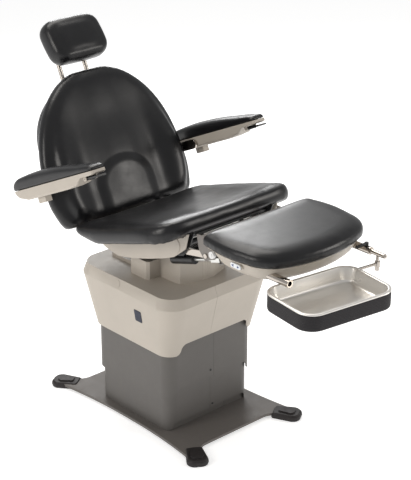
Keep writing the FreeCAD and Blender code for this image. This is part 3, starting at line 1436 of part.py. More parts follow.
def crank_slot():
    uy, uz = crank_line()
    vy, vz = -uz, uy
    half = k.crank_roller_radius + k.crank_slot_clear
    near, far = k.crank_arm * cosine(k.crank_angle) - k.lug_gap * 0.5, k.crank_arm * 1.0
    corners = [
        (near * uy + half * vy, near * uz + half * vz, (near - half) * uy, (near - half) * uz),
        (near * uy - half * vy, near * uz - half * vz),
        (far * uy - half * vy, far * uz - half * vz, (far + half) * uy, (far + half) * uz),
        (far * uy + half * vy, far * uz + half * vz)]
    return side_plate("crank_slot", corners, crank_x, k.crank_thick * 2)


def shell_outline(inset, share):
    """Egg outline of the back shell: x against z, pulled in by an inset, then by a share."""
    low, high = k.back_shell_low_z + inset, k.back_shell_high_z - inset
    half = (k.back_shell_half - inset) * share
    middle = low + (high - low) * 0.42
    low, high = middle - (middle - low) * share, middle + (high - middle) * share
    top, tall = half * 0.42, high - low
    return [
        (-half * 0.72, low + tall * 0.04, 0, low - tall * 0.005),
        (half * 0.72, low + tall * 0.04, half * 0.93, low + tall * 0.13), (half, low + tall * 0.3),
        (half * 0.985, low + tall * 0.52, half * 0.84, low + tall * 0.78), (top, high - tall * 0.02),
        (-top, high - tall * 0.02, -half * 0.84, low + tall * 0.78), (-half * 0.985, low + tall * 0.52),
        (-half, low + tall * 0.3, -half * 0.93, low + tall * 0.13)]


def back_shell():
    """Cover behind the back: a bulging shell with an open front and holes for the posts."""
    start = k.back_rear_y + k.back_plate_thick + k.back_shell_gap
    deep, wall = k.back_shell_deep, k.back_shell_wall
    outer, inner = [], []
    for share, along in ((1.0, 0.0), (0.98, 0.35), (0.92, 0.72), (0.8, 1.0)):
        depth = float(start + deep * along)
        outer.append(wire_of(floats(shell_outline(0, share)), lambda a, b, at=depth: vector(a, at, b)))
        depth = float(start + (deep - wall) * along - wall * (0.5 if along == 0 else 0))
        inner.append(wire_of(floats(shell_outline(wall, share)), lambda a, b, at=depth: vector(a, at, b)))
    tools = [solid("back_shell_inside", loft(inner, True))]
    for side, tag in ((-1, "right"), (1, "left")):
        tools.append(rod("post_hole_" + tag, k.post_radius + k.lug_gap * 0.6,
                         (k.post_x * side, k.post_y, k.guide_high_z), "Z", k.post_high_z))
        slack, beam, tall = k.back_shell_gap, k.arm_bar_thick, k.arm_bar_tall / 2
        tools.append(block("beam_notch_" + tag, span(k.back_shell_half * 0.8, k.back_shell_half * 1.2, side),
                           (k.back_rear_y, k.back_rear_y + k.back_plate_thick + beam + slack),
                           (k.arm_pivot_z - tall - slack, k.arm_pivot_z + tall + slack)))
    shape = cut("back_shell_whole", solid("back_shell_outside", loft(outer, True)), tools)
    keep("back_shell", shape, BACK)


def floats(corners):
    return [tuple(float(value) for value in corner) for corner in corners]


def back_cushion():
    """Upholstered back: a rolled edge, wings in the lower half and a bulge between them."""
    half, low, high = k.back_half, k.back_low_z, k.back_high_z
    face, rear, wing, bulge = k.back_face_y, k.back_rear_y, k.back_wing, k.back_bulge
    tall = high - low
    rows = (
        (0.0, 0.86, 0.04, 0.10, 0.10), (0.02, 0.915, -0.16, 0.2, 0.2), (0.07, 0.955, -0.14, 0.6, 0.5),
        (0.19, 1.007, 0, 1, 0.9), (0.31, 1.003, 0, 1.06, 1.0), (0.43, 0.982, 0, 0.95, 0.9),
        (0.55, 0.938, 0, 0.62, 0.6), (0.66, 0.87, 0, 0.3, 0.32), (0.76, 0.775, 0, 0.12, 0.22),
        (0.85, 0.65, 0.02, 0.04, 0.16), (0.92, 0.515, 0.08, 0, 0.1), (0.97, 0.37, 0.2, 0, 0.06),
        (1.0, 0.22, 0.34, 0, 0.02))
    sections = []
    for up, wide, thin, crest, centre in rows:
        x, z = half * wide, low + tall * up
        front = face + (rear - face) * thin
        back = rear - (rear - face) * (thin * 0.7 if up > 0.5 else 0)
        middle, edge_x = (front + back) / 2, x - (back - front) * 0.42
        crest_x, crest_y = x * 0.8, front - wing * crest
        valley_x, valley_y = x * 0.46, front - wing * crest * 0.42
        centre_y = front - bulge * centre
        tuck = x - (back - front) * 0.4
        right = [(tuck, back), (tuck, back, x, middle)]
        corners = [(-tuck, back), (tuck, back, x, middle)]
        for start, end in (((edge_x, front), (crest_x, crest_y)), ((crest_x, crest_y), (valley_x, valley_y)),
                           ((valley_x, valley_y), (0, centre_y)), ((0, centre_y), (-valley_x, valley_y)),
                           ((-valley_x, valley_y), (-crest_x, crest_y)),
                           ((-crest_x, crest_y), (-edge_x, front))):
            corners += ess(start, end)
        corners.append((-edge_x, front, -x, middle))
        height = float(z)
        sections.append(wire_of(floats(corners), lambda a, b, at=height: vector(a, b, at)))
    behind = block("back_room", (-half * 1.2, half * 1.2), (rear - k.soft_gap, rear * 2), (low * 0, high * 1.1))
    keep("back_cushion", cut("back_cushion_whole", solid("back_cushion_body", loft(sections)), [behind]), BACK)


def arm_brackets():
    """Bars behind the back that come forward beside the cushion and end in the arm pins."""
    thick, bar_x = k.arm_bar_thick, k.arm_bar_x
    rear = k.back_rear_y + k.back_plate_thick
    low, high = k.arm_pivot_z - k.arm_bar_tall / 2, k.arm_pivot_z + k.arm_bar_tall / 2
    pieces = []
    for side, tag in ((-1, "right"), (1, "left")):
        beam = block("arm_beam_" + tag, span(back_plate_half * 0.72, bar_x + thick, side),
                     (rear, rear + thick), (low, high))
        y, z, eye = k.arm_pivot_y, k.arm_pivot_z, k.arm_bar_tall / 2
        cheek = side_plate("arm_cheek_" + tag, [
            (y, z - eye), (rear + thick, low), (rear + thick, high), (y, z + eye, y - eye, z),
        ], (bar_x + thick / 2) * side, thick)
        pin = across("arm_pin_" + tag, k.arm_pin_radius, y, z,
                     span(bar_x + thick / 2, k.arm_inner_x + k.arm_pin_reach, side))
        pieces.append(join("arm_bracket_" + tag, [beam, cheek, pin]))
    keep("arm_brackets", group("arm_brackets_group", pieces), BACK)


def arms():
    """Arm shells with a bore for the pin, the pads on them and a release lever under each front."""
    inner, outer = k.arm_inner_x, k.arm_outer_x
    line, low, tall = k.arm_line_z, k.arm_low_z, k.arm_pad_tall
    front, rear = -k.arm_front_y, k.arm_rear_y
    for side, tag in ((-1, "right"), (1, "left")):
        middle = (inner + outer) / 2 * side
        shell = arm_shell(tag, middle)
        stub = block("arm_stub_" + tag, (middle - k.arm_stub_wide / 2, middle + k.arm_stub_wide / 2),
                     (k.arm_pivot_y - k.arm_stub_long * 0.45, k.arm_pivot_y + k.arm_stub_long),
                     (k.arm_stub_low_z, low + k.lug_gap * 2))
        hub = k.arm_lever_radius
        y, z = -k.arm_lever_y, k.arm_lever_z
        ears = []
        for step in (-1, 1):
            x = middle + (k.arm_lever_half + k.lug_gap * 0.5 + k.lug_thick / 4) * step
            ears.append(side_plate("arm_ear_%s_%d" % (tag, step), [
                (y - hub, z, y, z - hub), (y + hub, z), (y + hub * 1.4, line - k.lug_gap),
                (y - hub, line - k.lug_gap)], x, k.lug_thick / 2))
        bore = across("arm_bore_" + tag, k.arm_pin_radius + k.shaft_clear, k.arm_pivot_y, k.arm_pivot_z,
                      span(inner - k.lug_thick, inner + k.arm_pin_reach + k.lug_gap, side))
        hole = across("lever_bore_" + tag, k.lug_thick / 4 + k.shaft_clear, y, z,
                      (middle - k.arm_lever_half * 1.5, middle + k.arm_lever_half * 1.5))
        keep("arm_shell_" + tag, cut("arm_shell_whole_" + tag, join("arm_join_" + tag, [shell, stub] + ears),
                                     [bore, hole]), BACK)
        arm_pad(tag, middle)
        lever_plate(tag, middle, y, z)


def arm_shell(tag, middle):
    """Slim tray under the pad: it thins towards the front and rounds off at the rear."""
    inner, outer = k.arm_inner_x, k.arm_outer_x
    half, line, low = (outer - inner) / 2, k.arm_line_z, k.arm_low_z
    front, rear = -k.arm_front_y, k.arm_rear_y
    deep = line - low
    rows = ((front, 0.66, 0.22), (front * 0.985, 0.86, 0.3), (front * 0.95, 0.96, 0.34),
            (front * 0.79, 0.985, 0.36), (front * 0.7, 1, 0.86), (front * 0.55, 1, 1), (rear * 0.45, 1, 1),
            (rear * 0.76, 0.985, 0.7), (rear * 0.87, 0.93, 0.38), (rear * 0.94, 0.78, 0.2))
    sections = []
    for y, wide, under in rows:
        x, base = half * wide, line - deep * under
        corner = deep * 0.2 * min(1.0, float(under) * 1.2)
        corners = [(-x + corner, base), (x - corner, base, x - corner * 0.3, base + corner * 0.3),
                   (x, base + corner), (x, line), (-x, line),
                   (-x, base + corner, corner * 0.3 - x, base + corner * 0.3)]
        shift, depth = float(middle), float(y)
        sections.append(wire_of(floats(corners), lambda a, b, at=depth, dx=shift: vector(a + dx, at, b)))
    return solid("arm_tray_" + tag, loft(sections, True))


def arm_pad(tag, middle):
    """Soft pad with a domed top, highest at mid length."""
    half, line, tall = (k.arm_outer_x - k.arm_inner_x) / 2, k.arm_line_z, k.arm_pad_tall
    front, rear = -k.arm_front_y, k.arm_rear_y
    rows = ((front, 0.62, 0.08), (front * 0.99, 0.8, 0.26), (front * 0.955, 0.93, 0.42),
            (front * 0.87, 0.985, 0.52), (front * 0.71, 1, 0.62), (front * 0.4, 1, 0.88),
            (front * 0.06, 1, 1), (rear * 0.38, 1, 1.02), (rear * 0.67, 1, 0.97), (rear * 0.84, 0.97, 0.8),
            (rear * 0.93, 0.88, 0.55), (rear * 0.985, 0.7, 0.24))
    sections = []
    for y, wide, up in rows:
        x, top = half * wide, line + tall * up
        side, lip = line + tall * up * 0.42, x * 0.8
        corners = [(-x * 0.97, line), (x * 0.97, line, x, (line + side) / 2), (x * 0.985, side),
                   (x * 0.985, side, x * 0.93, side + (top - side) * 0.62), (lip, side + (top - side) * 0.86)]
        corners = [(-x * 0.97, line), (x * 0.97, line), (x, side, x * 0.92, side + (top - side) * 0.66),
                   (lip * 0.9, side + (top - side) * 0.9, 0, top),
                   (-lip * 0.9, side + (top - side) * 0.9, -x * 0.92, side + (top - side) * 0.66), (-x, side)]
        shift, depth = float(middle), float(y)
        sections.append(wire_of(floats(corners), lambda a, b, at=depth, dx=shift: vector(a + dx, at, b)))
    keep("arm_pad_" + tag, solid("arm_pad_body_" + tag, loft(sections)), BACK)


def lever_plate(tag, middle, y, z):
    """Release paddle on its own pin, with a round finger hole."""
    half, thick, hub = k.arm_lever_half, k.arm_lever_thick, k.arm_lever_radius
    paddle = block("paddle_" + tag, (middle - half, middle + half),
                   (y - k.arm_lever_reach, y), (z - thick * 0.6, z + thick * 0.4))
    barrel = across("barrel_" + tag, hub * 0.9, y, z, (middle - half, middle + half))
    pin = across("lever_pin_" + tag, k.lug_thick / 4, y, z,
                 (middle - half - k.lug_thick / 2, middle + half + k.lug_thick / 2))
    hole = rod("finger_hole_" + tag, half * 0.42, (middle, y - k.arm_lever_reach * 0.62, z - hub), "Z", hub * 2)
    keep("arm_lever_" + tag, cut("lever_whole_" + tag, join("lever_join_" + tag, [paddle, barrel, pin]), [hole]),
         BACK)


# Headrest

def headrest():
    low, high = k.post_low_z, k.post_high_z
    posts = []
    for side, tag in ((-1, "right"), (1, "left")):
        posts.append(rod("post_" + tag, k.post_radius, (k.post_x * side, k.post_y, low), "Z", high - low))
    bridge = across("head_axle", k.head_pin_radius, k.post_y, high, (-k.post_x - k.lug_thick, k.post_x + k.lug_thick))
    keep("headrest_posts", join("posts_whole", posts + [bridge]), BACK)
    ear, radius = k.head_ear_thick, k.head_pin_radius * 1.75
    stand = -k.head_standoff
    board = block("head_board", (-k.head_plate_half, k.head_plate_half), (stand - k.head_plate_thick, stand),
                  (-k.head_plate_tall * 0.45, k.head_plate_tall * 0.55))
    pieces = [board]
    for side, tag in ((-1, "right"), (1, "left")):
        inner = k.post_x - k.post_radius - k.head_ear_gap - ear
        x = (inner + ear / 2) * side
        pieces.append(side_plate("head_ear_" + tag, [
            (stand - k.lug_gap, -radius * 1.3), (0, -radius, radius, 0), (0, radius),
            (stand - k.lug_gap, radius * 1.3)], x, ear))
    hole = across("head_hole", k.head_pin_radius + k.shaft_clear, 0, 0, (-k.post_x, k.post_x))
    keep("headrest_bracket", cut("head_bracket_whole", join("head_bracket_join", pieces), [hole]), HEAD)
    head_cushion()


def head_cushion():
    """Thick rounded pad: outlines stacked from its flat rear to its crowned face."""
    half, tall, deep = k.head_half, k.head_tall / 2, k.head_deep
    rear = -k.head_standoff - k.head_plate_thick
    rows = ((0.0, 0.9), (0.1, 0.955), (0.3, 1.0), (0.6, 1.0), (0.8, 0.965), (0.93, 0.88), (1.0, 0.7))
    sections = []
    for along, share in rows:
        inset = tall * (1 - share)
        a, b = half - inset, tall - inset
        corner = b * 0.62
        corners = [
            (-a + corner, -b, 0, -b * 1.02), (a - corner, -b, a - corner * 0.27, -b + corner * 0.27),
            (a, -b + corner, a * 1.01, 0), (a, b - corner, a - corner * 0.27, b - corner * 0.27),
            (a - corner, b, 0, b * 1.02), (-a + corner, b, corner * 0.27 - a, b - corner * 0.27),
            (-a, b - corner, -a * 1.01, 0), (-a, -b + corner, corner * 0.27 - a, -b + corner * 0.27)]
        depth = float(rear - deep * along)
        sections.append(wire_of(floats(corners), lambda p, q, at=depth: vector(p, at, q)))
    keep("headrest_cushion", solid("head_cushion_body", loft(sections)), HEAD)


# Foot section: channel with its rollers, carriage with pan, pad and sockets, rocker switch

def foot_frame():
    """Channel on the foot hinge; its sides reach back to the hinge pins and carry round discs."""
    x, wall, top = channel_x, k.channel_wall, k.channel_top_z
    rear, front, low = k.channel_rear_y, -k.channel_front_y, k.channel_side_low_z
    eye = k.foot_eye_radius
    pieces, tools = [], []
    for side, tag in ((-1, "right"), (1, "left")):
        pieces.append(side_plate("channel_side_" + tag, [
            (front, low), (-rear * 1.05, low), (-rear * 0.9, 0), (-rear * 0.3, -eye * 0.62),
            (-eye * 0.5, -eye * 0.866, eye * 0.26, -eye * 0.966),
            (eye * 0.9, -eye * 0.44), (rear * 0.74, eye * 0.6), (rear, top), (front, top),
        ], (x - wall / 2) * side, wall))
    pieces.append(block("channel_floor", (-x + wall / 2, x - wall / 2), (front, -rear * 0.7),
                        (low, low + k.channel_floor)))
    pieces.append(block("channel_bridge", (-x + wall / 2, x - wall / 2), (rear * 0.35, rear * 0.62),
                        (top - k.channel_wall * 2, top)))
    pieces.append(foot_crank())
    tools.append(across("foot_pin_hole", k.foot_pin_radius + k.shaft_clear, 0, 0, (-x * 2, x * 2)))
    tools.append(foot_crank_slot())
    keep("foot_frame", cut("foot_frame_whole", join("foot_frame_join", pieces), tools), FOOT)
    disc_z = k.disc_z
    discs = []
    for side, tag in ((-1, "right"), (1, "left")):
        near, wide = x + k.soft_gap, k.disc_wide
        discs.append(across("disc_body_" + tag, k.disc_radius, -k.disc_y, disc_z,
                              span(near, near + wide, side)))
    keep("channel_discs", group("discs_group", [
        join("disc_pair_right", [discs[0], disc_stud("right", -1, disc_z)]),
        join("disc_pair_left", [discs[1], disc_stud("left", 1, disc_z)])]), FOOT)


def disc_stud(tag, side, z):
    """Bolt head on a disc's outer face."""
    x = channel_x + k.soft_gap + k.disc_wide
    return across("stud_" + tag, k.disc_radius * 0.4, -k.disc_y, z,
                  span(x - k.lug_gap, x + k.lug_gap * 2, side))


def in_foot(y, z):
    """A point of the seat frame, given in the level frame of the foot section."""
    at = FOOT.inverse().multVec(SEAT.multVec(vector(0, y, z)))
    return at.y, at.z


def foot_crank_line():
    y, z = in_foot(*foot_crank_pin())
    long = math.hypot(y, z)
    return y / long, z / long


def foot_crank():
    """Arm below the hinge on the right; it hangs from the channel's floor."""
    uy, uz = foot_crank_line()
    vy, vz = -uz, uy
    reach, tip = k.foot_roller_pin + k.foot_slot_clear + k.crank_rim, k.foot_crank_arm
    low = k.channel_side_low_z
    corners = [
        (tip * uy - reach * vy, tip * uz - reach * vz, (tip + reach) * uy, (tip + reach) * uz),
        (tip * uy + reach * vy, tip * uz + reach * vz),
        (reach * vy * 1.1, reach * vz * 1.1), (-k.channel_rear_y * 0.2, low + k.channel_floor),
        (-k.channel_rear_y * 1.3, low + k.channel_floor), (-k.channel_rear_y * 1.3, low),
        (-reach * vy * 1.1, -reach * vz * 1.1)]
    return side_plate("foot_crank", corners, -foot_drive_x, k.crank_thick)


def foot_crank_slot():
    uy, uz = foot_crank_line()
    vy, vz = -uz, uy
    half = k.foot_roller_pin + k.foot_slot_clear
    far = k.foot_crank_arm * 1.0
    near = far * cosine(k.foot_swing_angle) - k.lug_gap
    corners = [
        (near * uy + half * vy, near * uz + half * vz, (near - half) * uy, (near - half) * uz),
        (near * uy - half * vy, near * uz - half * vz),
        (far * uy - half * vy, far * uz - half * vz, (far + half) * uy, (far + half) * uz),
        (far * uy + half * vy, far * uz + half * vz)]
    return side_plate("foot_crank_slot", corners, -foot_drive_x, k.crank_thick * 2)


def pad_outline(inset):
    """Outline of the foot pad from above, pulled in by an inset."""
    half, rear, front = k.foot_half - inset, -k.foot_rear_y - inset, -k.foot_front_y + inset
    side = half * 0.955
    rear_x, long = half * 0.89, front - rear
    right = [
        (rear_x, rear, half * 0.94, rear + long * 0.02), (side, rear + long * 0.075, half, rear + long * 0.33),
        (half * 0.966, rear + long * 0.6, half * 0.887, rear + long * 0.78),
        (half * 0.683, rear + long * 0.905, half * 0.36, rear + long * 0.977)]
    left = [
        (0, front, -half * 0.36, rear + long * 0.977),
        (-half * 0.683, rear + long * 0.905, -half * 0.887, rear + long * 0.78),
        (-half * 0.966, rear + long * 0.6, -half, rear + long * 0.33),
        (-side, rear + long * 0.075, -half * 0.94, rear + long * 0.02), (-rear_x, rear)]
    return floats(right + left)


def foot_cushion():
    low, tall = k.foot_pad_low_z, k.foot_pad_tall
    rows = ((0, 0.024), (0.1, 0.008), (0.25, 0), (0.5, 0), (0.68, 0.012), (0.8, 0.038), (0.89, 0.08),
            (0.95, 0.135), (0.985, 0.2), (1, 0.27))
    sections = [wire_of(pad_outline(k.foot_half * inset), level(low + tall * up)) for up, inset in rows]
    keep("foot_cushion", solid("foot_cushion_body", loft(sections, True)), FOOT)


def pan_rear_cut(name, step):
    """All that lies behind the rear edge of the housing, which climbs in an arc towards the hinge."""
    top, low, under = k.pan_rim_low_z + k.pan_wall, k.pan_low_z, k.pan_low_z - k.pan_wall
    rear, low_rear = -k.pan_rear_y - step, -k.pan_low_rear_y - step
    return side_plate(name, [
        (rear, top), (rear, k.pan_rim_low_z, rear + (low_rear - rear) * 0.34, low + (k.pan_rim_low_z - low) * 0.32),
        (low_rear, low), (low_rear, under), (0, under), (0, top)], 0, k.foot_half * 2)


def pan_housing():
    """Housing under the board: closed at the front, with a pod on each side of the channel."""
    rim_low, low, wall = k.pan_rim_low_z, k.pan_low_z, k.pan_wall
    outer, hollow = [], []
    for down_share, draw_share in ((0, 0), (0.14, 0.05), (0.41, 0.2), (0.73, 0.43), (0.9, 0.68), (1, 1)):
        inset = k.pan_rim_inset * 2 + k.pan_draw * draw_share
        outer.append(wire_of(pad_outline(inset), level(rim_low + (low - rim_low) * down_share)))
        hollow.append(wire_of(pad_outline(inset + wall), level(rim_low + wall + (low - rim_low) * down_share)))
    space = cut("pan_hollow", solid("pan_hollow_body", loft(hollow, True)), [pan_rear_cut("pan_hollow_rear", wall)])
    tools = [space, pan_passage("pod_passage"), pan_rear_cut("pan_rear", 0)]
    for side, tag in ((-1, "right"), (1, "left")):
        tools.append(rod("barrel_space_" + tag, k.socket_radius + k.shaft_clear,
                         (socket_x * side, -k.socket_end_y, k.socket_z), "Y",
                         k.socket_end_y - k.socket_root_y))
    shell = cut("pan_shell", solid("pan_outer", loft(outer, True)), tools)
    half_y, half_z = rocker_root()
    window = block("rocker_window", (-switch_x - wall, -switch_x + k.bezel_thick + wall),
                   (-k.rocker_y - half_y - k.rocker_gap * 2, -k.rocker_y + half_y + k.rocker_gap * 2),
                   (k.rocker_z - half_z - k.rocker_gap, k.rocker_z + half_z + k.rocker_gap))
    bezel = pill("switch_bezel", k.bezel_rim, k.bezel_thick / 2 - switch_x, k.bezel_thick)
    return cut("pan_housing", join("pan_bezel", [shell, bezel]), [window, rocker_pin("rocker_bore", k.shaft_clear)])


def pan_passage(name):
    """Room for the channel, open towards the hinge and below."""
    half = channel_x + k.channel_wall * 0.3
    return block(name, (-half, half), (-k.channel_front_y - k.channel_wall * 2, k.pan_wall),
                 (k.pan_low_z - k.pan_wall, k.channel_top_z + k.lug_gap * 0.6))


def foot_pan():
    """Board under the pad with a shallow rim and two runners, and the housing screwed under it."""
    top, rim_low, wall, inset = k.pan_top_z, k.pan_rim_low_z, k.pan_wall, k.pan_rim_inset
    rim = loft([wire_of(pad_outline(inset), level(top)),
                wire_of(pad_outline(inset * 1.3), level(rim_low + wall)),
                wire_of(pad_outline(inset * 1.9), level(rim_low))], True)
    pieces = [cut("pan_board", solid("pan_rim", rim), [pan_passage("board_passage")])]
    outer = channel_x - k.channel_wall - k.lug_gap * 0.5
    for side, tag in ((-1, "right"), (1, "left")):
        pieces.append(block("runner_" + tag, span(runner_x, outer, side),
                            (-k.channel_front_y + k.channel_wall * 2, -k.foot_rear_y - k.pan_draw * 0.6),
                            (k.runner_low_z, k.channel_top_z + k.lug_gap * 1.1)))
    keep("foot_pan", group("pan_whole", [join("pan_board_whole", pieces), pan_housing()]), FOOT)


def tray_sockets():
    """Barrels at both front corners; the tray's tube slides into the left one."""
    z, root, end = k.socket_z, -k.socket_root_y, -k.socket_end_y
    pieces = []
    for side, tag in ((-1, "right"), (1, "left")):
        x = socket_x * side
        barrel = rod("barrel_" + tag, k.socket_radius, (x, end, z), "Y", root - end)
        bore = rod("barrel_bore_" + tag, k.socket_bore_radius, (x, end - k.lug_thick, z), "Y", root - end)
        pieces.append(cut("socket_" + tag, barrel, [bore, clamp_screw_hole(tag, x)]))
    keep("tray_sockets", group("sockets_group", pieces), FOOT)


def clamp_screw_hole(tag, x):
    return rod("clamp_hole_" + tag, k.lever_thick / 2 + k.shaft_clear, (x, -k.lever_y, k.socket_z), "Z",
               k.socket_radius * 2)


def rocker_root():
    """Half width and half height of the rocker's root in its window."""
    return k.rocker_thick * 0.75, k.rocker_thick


def rocker_pin(name, grow):
    """Upright pin in the middle of the switch's bezel, or the bore for it."""
    half = rocker_root()[1] + k.rocker_gap + k.rocker_pin_radius * 2 + grow * 2
    return rod(name, k.rocker_pin_radius + grow,
               (k.bezel_thick / 2 - switch_x, -k.rocker_y, k.rocker_z - half), "Z", half * 2)


def pill(name, grow, x, thick):
    """Plate with round ends, larger than the rocker by grow, whose middle stands at x."""
    y, z, end = -k.rocker_y, k.rocker_z, k.rocker_wide / 2 + grow
    half = (k.rocker_long - k.rocker_wide) / 2
    return side_plate(name, [
        (y - half, z - end), (y + half, z - end, y + half + end, z), (y + half, z + end),
        (y - half, z + end, y - half - end, z)], x, thick)


def switch_rocker():
    """Rocker on an upright pin in the right pod of the housing, with a pair of raised arrows."""
    thick, half = k.rocker_thick, (k.rocker_long - k.rocker_wide) / 2
    y, z, x = -k.rocker_y, k.rocker_z, -switch_x - k.rocker_gap
    body = pill("rocker_body", 0, x - thick / 2, thick)
    arrows = []
    for step in (-1, 1):
        tip = k.arrow_long * 0.62
        base = y + half * step * 0.85
        arrows.append(side_plate("arrow_%d" % step, [
            (base - tip * step, z - tip), (base + tip * step, z), (base - tip * step, z + tip),
        ][::step], x - thick - k.arrow_proud / 2, k.arrow_proud * 1.2))
    half_y, half_z = rocker_root()
    inner = k.bezel_thick / 2 - switch_x + k.rocker_pin_radius + k.rocker_gap / 2
    root = block("rocker_root", (x - thick / 2, inner),
                 (y - half_y, y + half_y), (z - half_z, z + half_z))
    pin = rocker_pin("rocker_pin", k.shaft_clear * 0)
    keep("switch_rocker", join("rocker_whole", [body, root, pin] + arrows), FOOT)


# Tray, its arm and the clamp lever

def tray_arm():
    """Tube in the left socket, with a sleeve near its end and a rod that carries the tray."""
    x, z = socket_x, k.socket_z
    near, far = -k.tube_in_y, -k.tube_out_y
    tube = rod("tray_tube", k.tube_radius, (x, far, z), "Y", near - far)
    end = solid("tube_end", Part.makeSphere(float(k.tube_radius)), FreeCAD.Placement(vector(x, far, z), FreeCAD.Rotation()))
    top = z - k.tube_radius * 0.5
    low = k.tray_rim_z - k.band_tall * 0.62
    drop_x, drop_y = x, -k.drop_y
    drop = rod("drop_rod", k.drop_radius, (drop_x, drop_y, low), "Z", top - low)
    foot = rod("drop_foot", k.drop_radius * 1.3, (drop_x, drop_y, low), "Z", k.drop_radius * 2)
    keep("tray_arm", join("tray_arm_whole", [tube, end, drop, foot]), FOOT)


def clamp_lever():
    """Lever on a screw through the top of the left socket."""
    x, y = socket_x, -k.lever_y
    base = k.socket_z + k.socket_radius + k.lug_gap * 0.6
    thick, hub = k.lever_thick, k.lever_hub_radius
    pieces = [
        rod("lever_screw", thick / 2, (x, y, k.socket_z + k.tube_radius + k.lever_clear), "Z",
            base - k.socket_z - k.tube_radius),
        rod("lever_hub", hub, (x, y, base), "Z", thick * 1.6),
        block("lever_blade", (x - k.lever_long, x), (y - thick * 0.7, y + thick * 0.7),
              (base + thick * 0.5, base + thick * 1.5)),
        rod("lever_tip", thick * 0.9, (x - k.lever_long, y, base + thick * 0.5), "Z", thick)]
    keep("clamp_lever", join("clamp_lever_whole", pieces), FOOT)


def tray_outline(grow):
    return floats(rounded_corners(k.tray_long / 2 + grow, k.tray_wide / 2 + grow, k.tray_corner + grow))


def tray():
    """Grooved band around a stainless pan with a rolled rim."""
    low = k.tray_rim_z - k.band_tall
    at = FreeCAD.Placement(vector(-k.tray_x, -k.tray_y, 0), FreeCAD.Rotation(UP, -float(k.tray_turn_angle)))
    outer, grooves = [], 9
    for step in range(grooves * 2 + 1):
        height = low + k.band_tall * step / (grooves * 2)
        depth = 0 if step % 2 == 0 else -k.band_thick * 0.12
        outer.append(wire_of(tray_outline(depth), level(height)))
    inner = [wire_of(tray_outline(-k.band_thick), level(low - k.pan_clear)),
             wire_of(tray_outline(-k.band_thick), level(k.tray_rim_z + k.pan_clear))]
    ring = solid("band_ring", loft(outer, True).cut(loft(inner, True)))
    floor_low = solid("band_floor", loft([wire_of(tray_outline(-k.band_thick * 0.5), level(low)),
                                          wire_of(tray_outline(-k.band_thick * 0.5), level(low + k.pan_sheet * 2))], True))
    arm = band_arm(at, low)
    keep("tray_band", join("band_whole", [ring, floor_low, arm]), FOOT.multiply(at))
    tray_pan(at)


def band_arm(at, low):
    """Sleeve on the band's side that turns on the drop rod, with a strut to the band."""
    spot = at.inverse().multVec(vector(socket_x, -k.drop_y, 0))
    foot_low = k.tray_rim_z - k.band_tall * 0.62 + k.drop_radius * 2 + k.lug_gap * 0.3
    sleeve = Part.makeCylinder(float(k.drop_sleeve_radius), float(k.drop_sleeve_tall),
                               vector(spot.x, spot.y, foot_low))
    tall = float(k.drop_sleeve_tall) * 0.5
    half = float(k.drop_sleeve_radius) * 0.62
    corner = float(k.tray_corner)
    into_corner = min(max(abs(spot.y) + half - float(k.tray_wide) / 2 + corner, 0), corner * 0.9)
    side_x = float(k.tray_long) / 2 - corner + math.sqrt(corner ** 2 - into_corner ** 2)
    reach = spot.x - side_x + float(k.band_thick) * 0.25
    strut = Part.makeBox(reach, half * 2, tall, vector(spot.x - reach, spot.y - half, foot_low + tall * 0.5))
    bore = Part.makeCylinder(float(k.drop_radius + k.shaft_clear), float(k.drop_sleeve_tall) * 2,
                             vector(spot.x, spot.y, foot_low - k.drop_sleeve_tall * 0.5))
    return solid("band_arm", sleeve.fuse(strut).cut(bore).removeSplitter())


def tray_pan(at):
    sheet_thick, rim, deep = k.pan_sheet, k.tray_rim_z + k.pan_clear * 0.2, k.pan_deep
    inset = k.band_thick + k.pan_clear
    rows = ((0.0, 0.0), (0.5, 0.25), (0.84, 0.62), (0.96, 0.82), (1.0, 1.25))
    outer, inner = [], []
    for down, draw in rows:
        outer.append(wire_of(tray_outline(-inset - k.pan_slope * draw), level(rim - deep * down)))
        level_z = rim - (deep - sheet_thick) * down + (sheet_thick if down == 0 else 0)
        inner.append(wire_of(tray_outline(-inset - sheet_thick - k.pan_slope * draw), level(level_z)))
    lip = loft([wire_of(tray_outline(k.pan_rim_over), level(rim)),
                wire_of(tray_outline(k.pan_rim_over), level(rim + sheet_thick))], True)
    roll = loft([wire_of(tray_outline(k.pan_rim_over), level(rim - k.pan_rim_over)),
                 wire_of(tray_outline(k.pan_rim_over), level(rim))], True)
    gap = loft([wire_of(tray_outline(k.pan_rim_over - sheet_thick), level(rim - k.pan_rim_over * 2)),
                wire_of(tray_outline(k.pan_rim_over - sheet_thick), level(rim))], True)
    bowl = loft(outer, True).fuse([lip, roll.cut(gap)]).cut(loft(inner, True)).removeSplitter()
    keep("tray_pan", solid("tray_pan_body", bowl), FOOT.multiply(at))


# The whole chair, checked and written out

def build():
    board = base_plate()
    capped_leg_slots(foot_caps(), board)
    lower_cover()
    power_inlet()
    kick_panel()
    control_box()
    column_tubes()
    glide_pads("lower_glide_pads", mid_tube_half, k.mid_tube_low_z)
    glide_pads("upper_glide_pads", inner_tube_half, k.inner_tube_low_z)
    lift_actuator()
    lift_motor()
    mid_cover()
    shroud()
    shroud_details()
    lift_head()
    tilt_drive()
    seat_frame()
    tilt_shaft()
    seat_shells()
    seat_cushion()
    back_drive()
    foot_brackets()
    foot_drive()
    back_frame()
    back_shell()
    back_cushion()
    arm_brackets()
    arms()
    headrest()
    foot_frame()
    foot_cushion()
    foot_pan()
    tray_sockets()
    switch_rocker()
    tray_arm()
    clamp_lever()
    tray()


